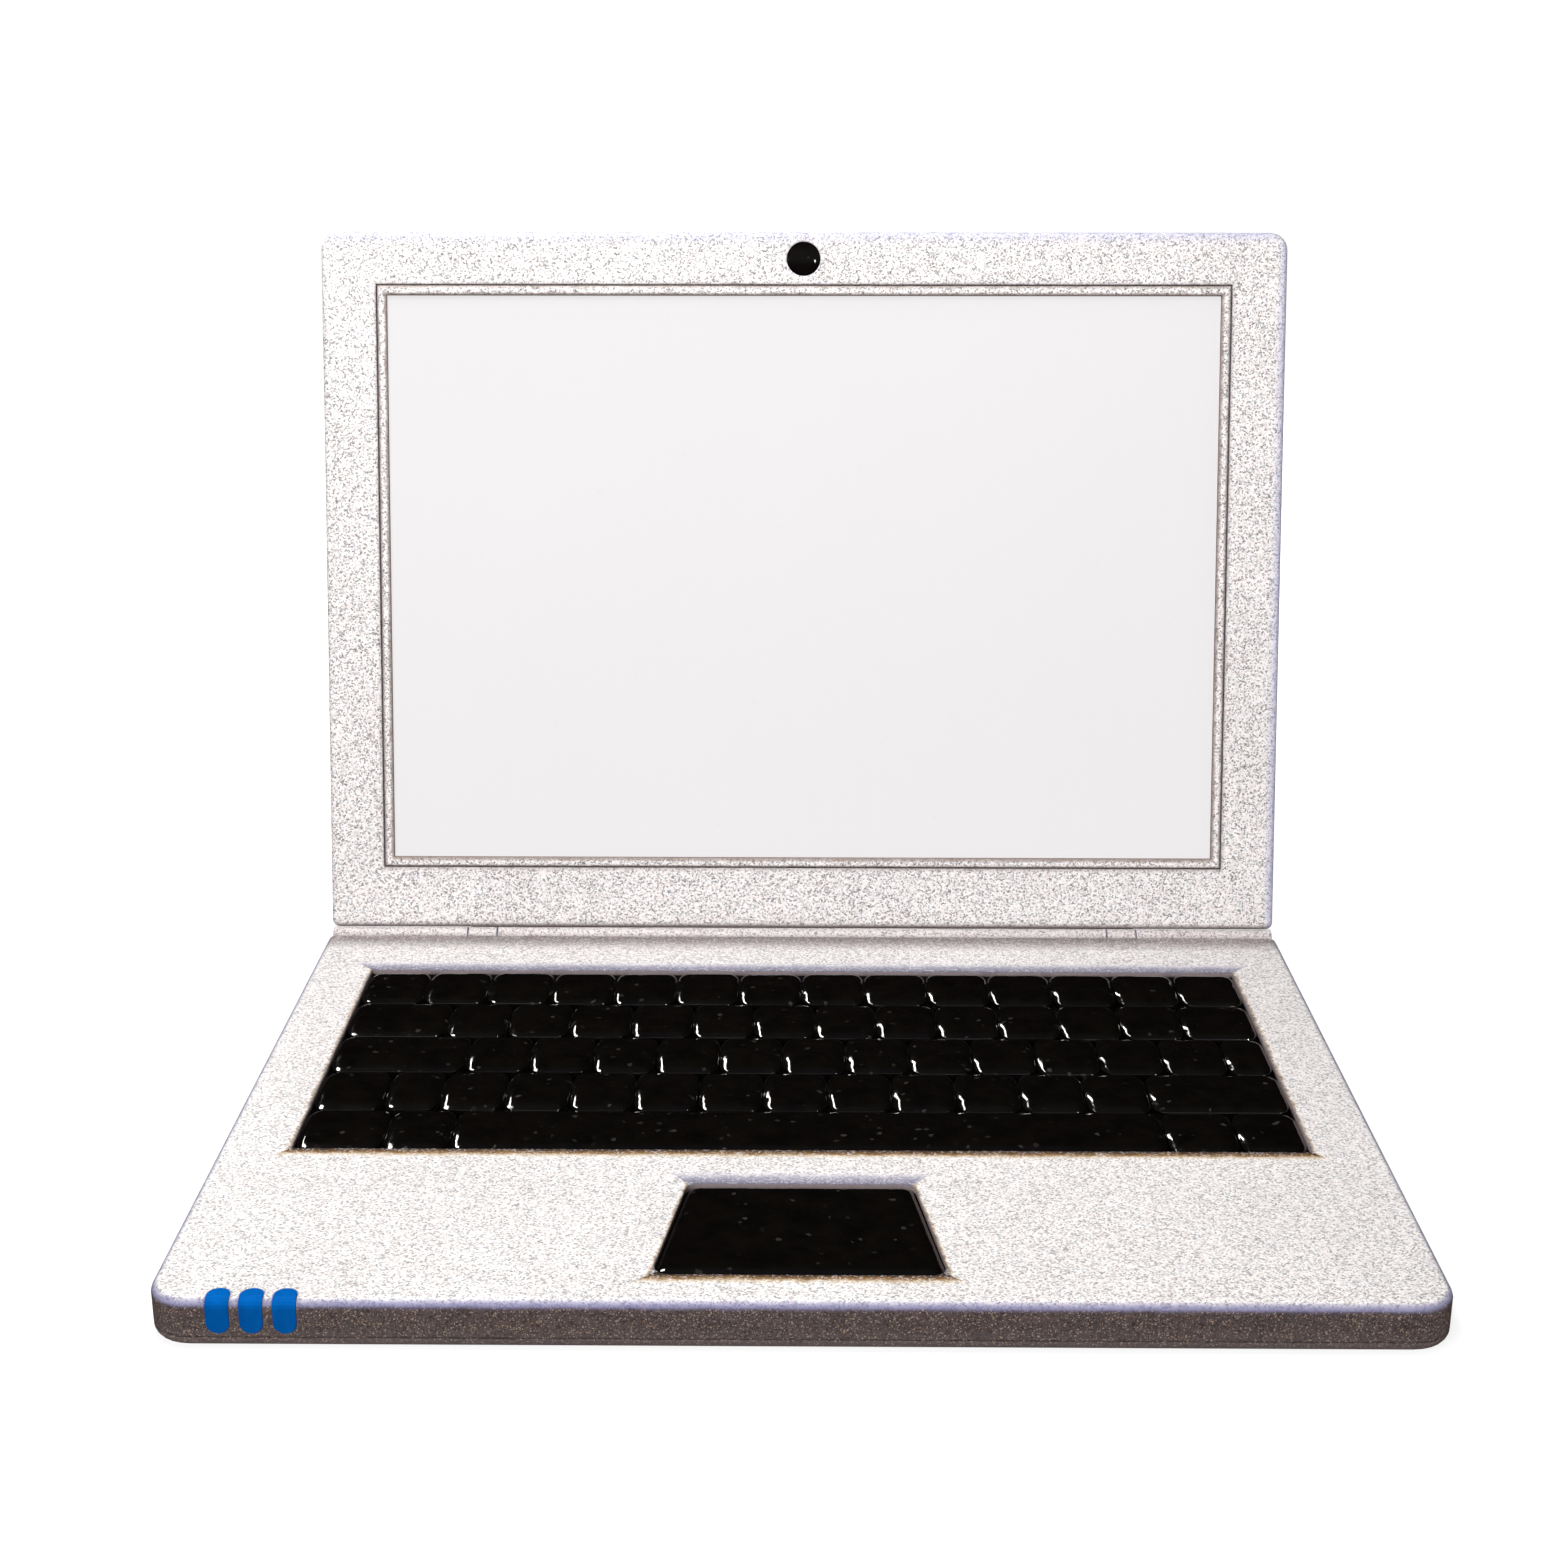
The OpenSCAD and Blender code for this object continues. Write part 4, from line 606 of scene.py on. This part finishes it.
seed = 1
for row, (widths, groups) in enumerate(KEY_ROWS):
    names = [(node, i if count > 1 else None) for node, count in groups for i in range(count)]
    x = -KEYS_W / 2
    y = KEYS_REAR - (row + 1) * ROW_D
    for (node, i), w in zip(names, widths):
        seed += 1
        rng = random.Random(seed)
        x0, x1 = x + KEY_GAP / 2, x + w * UNIT - KEY_GAP / 2
        y0, y1 = y + KEY_GAP / 2, y + ROW_D - KEY_GAP / 2
        corners = [(x0, y0), (x1, y0), (x1, y1), (x0, y1)]
        label = node if i is None else f"{node}_{i + 1}"
        profile = cushion(KEY_LOW, KEY_TOP, slope=rng.uniform(38, 42),
                          reach=rng.uniform(3.4, 3.9) * MM, rim_r=0.4 * MM,
                          crown=rng.uniform(0.10, 0.16) * MM, crown_reach=1.6 * MM)
        key = pillow(f"cap_{label}", corners, 3.6 * MM, profile, f"{node}_body", steps=10,
                     wobble=0.05 * MM, seed=seed, depth=1.6, lean=rng.uniform(0.90, 1.20))
        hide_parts(node)
        x += w * UNIT

pad_corners = [(-PAD_FRONT_W / 2, PAD_LOW[1]), (PAD_FRONT_W / 2, PAD_LOW[1]),
               (PAD_REAR_W / 2, PAD_HIGH[1]), (-PAD_REAR_W / 2, PAD_HIGH[1])]
pad_profile = cushion(PAD_LOW[2], PAD_HIGH[2], slope=38, reach=3.6 * MM, rim_r=0.5 * MM,
                      crown=0.1 * MM, crown_reach=9 * MM)
pad = pillow("trackpad_face", pad_corners, 3.5 * MM, pad_profile, "pad", steps=8,
             wobble=0.04 * MM, seed=77)
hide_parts("trackpad")


# ---- Floor, light and camera ----

def floor_material():
    """White with the object's soft shadow to the camera, and a dull brown to everything else."""
    g = new_material("floor")
    far = g.node("VectorMath", {0: g.coord.outputs["Object"]}, operation="LENGTH").outputs["Value"]
    level = g.node("MapRange", {"Value": far, "From Min": 0.2, "From Max": 0.9,
                                "To Min": 0.84, "To Max": 1.0})
    white = g.node("Emission", {"Color": (1, 1, 1), "Strength": level.outputs[0]})
    pale = g.node("BsdfDiffuse", {"Color": (0.18, 0.18, 0.18)})
    seen = g.node("AddShader", {0: white.outputs[0], 1: pale.outputs[0]})
    brown = g.node("BsdfDiffuse", {"Color": (0.13, 0.10, 0.095)})
    return g.close(g.for_camera(seen.outputs[0], brown.outputs[0]))


FLOOR_HALF = 4
floor_corners = [(x * FLOOR_HALF, y * FLOOR_HALF, 0)
                 for x, y in ((-1, -1), (1, -1), (1, 1), (-1, 1))]
mesh = bpy.data.meshes.new("floor")
mesh.from_pydata(floor_corners, [], [(0, 1, 2, 3)])
mesh.materials.append(floor_material())
floor = bpy.data.objects.new("floor", mesh)
bpy.context.scene.collection.objects.link(floor)
floor.visible_glossy = False


def studio_world(strength):
    """White to the camera; to the object, dark behind and overhead, and bright in front."""
    g = Graph(bpy.data.worlds.new("studio"), "OutputWorld")
    axes = g.axes(g.coord.outputs["Generated"])
    front = g.ramp(axes["Z"], (0.0, (0.08, 0.07, 0.09)), (0.10, (0.20, 0.20, 0.28)),
                   (0.24, (0.45, 0.44, 0.46)), (0.60, (0.42, 0.415, 0.42)),
                   (0.85, (0.10, 0.10, 0.11)))
    back = g.ramp(axes["Z"], (0.0, (0.004, 0.003, 0.003)), (0.80, (0.006, 0.005, 0.005)),
                  (1.0, (0.04, 0.04, 0.05)))
    to_front = g.node("MapRange", {"Value": axes["Y"], "From Min": -0.15, "From Max": -0.65})
    color = g.mix(to_front.outputs[0], back, front)
    room = g.node("Background", {"Color": color, "Strength": strength})
    white = g.node("Background", {"Color": (1, 1, 1)})
    return g.close(g.for_camera(white.outputs[0], room.outputs[0]))


bpy.context.scene.world = studio_world(0.8)


def soft_light(name, place, target, size, watts, color=(1, 1, 1), highlights_on=None):
    """An area lamp that lights without being mirrored, or only makes highlights on a collection."""
    data = bpy.data.lights.new(name, "AREA")
    data.shape = "RECTANGLE"
    data.size, data.size_y = size
    data.energy = watts
    data.color = color
    o = bpy.data.objects.new(name, data)
    o.location = place
    o.rotation_euler = (Vector(target) - Vector(place)).to_track_quat("-Z", "Y").to_euler()
    bpy.context.scene.collection.objects.link(o)
    if highlights_on:
        o.visible_diffuse = False
        o.light_linking.receiver_collection = highlights_on
    else:
        o.visible_glossy = False


shiny = bpy.data.collections.new("glossy_black_pieces")
for o in bpy.data.objects:
    if o.type == "MESH" and o.data.materials and o.data.materials[0] in (ENAMEL, LENS):
        shiny.objects.link(o)
soft_light("overhead", (-0.15, -0.05, 0.74), (-0.02, -0.02, 0.0), (1.0, 0.16), 9.5)
soft_light("front_fill", (-0.75, -1.65, 1.05), (0, 0.1, 0.1), (0.9, 0.5), 39.0)
soft_light("left_strip", (-0.62, 0.37, 0.87), (0, 0.0, 0.02), (0.15, 0.36), 4.8,
           color=(1.0, 0.98, 0.94), highlights_on=shiny)
soft_light("right_glint", (0.35, -0.30, 0.35), (0, 0.17, 0.235), (0.05, 0.07), 0.9,
           highlights_on=shiny)
soft_light("right_fill", (1.30, -0.20, 0.13), (0.1, 0, 0.02), (0.5, 0.2), 7.0)
soft_light("back_fill", (-0.1, 1.3, 0.7), (0, 0.15, 0.1), (0.4, 0.4), 26.0)

# The photo's keys mirror nothing of the lid
for node in frame["record"]["behaviour"]["bodies"]["lid"]:
    NODES[node].visible_glossy = False

# The photo's camera, as fitted to the outline of the laptop
PHOTO_PX, FOCAL_PX, SENSOR_MM = 1565, 2289.0, 36
CAMERA_PLACE, CAMERA_DOWN, CAMERA_TURN = (0.00018, -0.61067, 0.31292), 18.525, 0.53
camera_data = bpy.data.cameras.new("camera")
camera = bpy.data.objects.new("camera", camera_data)
bpy.context.scene.collection.objects.link(camera)
camera.location = CAMERA_PLACE
camera.rotation_euler = Euler((math.radians(90 - CAMERA_DOWN), 0, math.radians(CAMERA_TURN)))
camera_data.sensor_width = SENSOR_MM
camera_data.lens = FOCAL_PX / PHOTO_PX * SENSOR_MM
camera_data.clip_start = 0.01
bpy.context.scene.camera = camera
bpy.context.scene.view_settings.view_transform = "Standard"
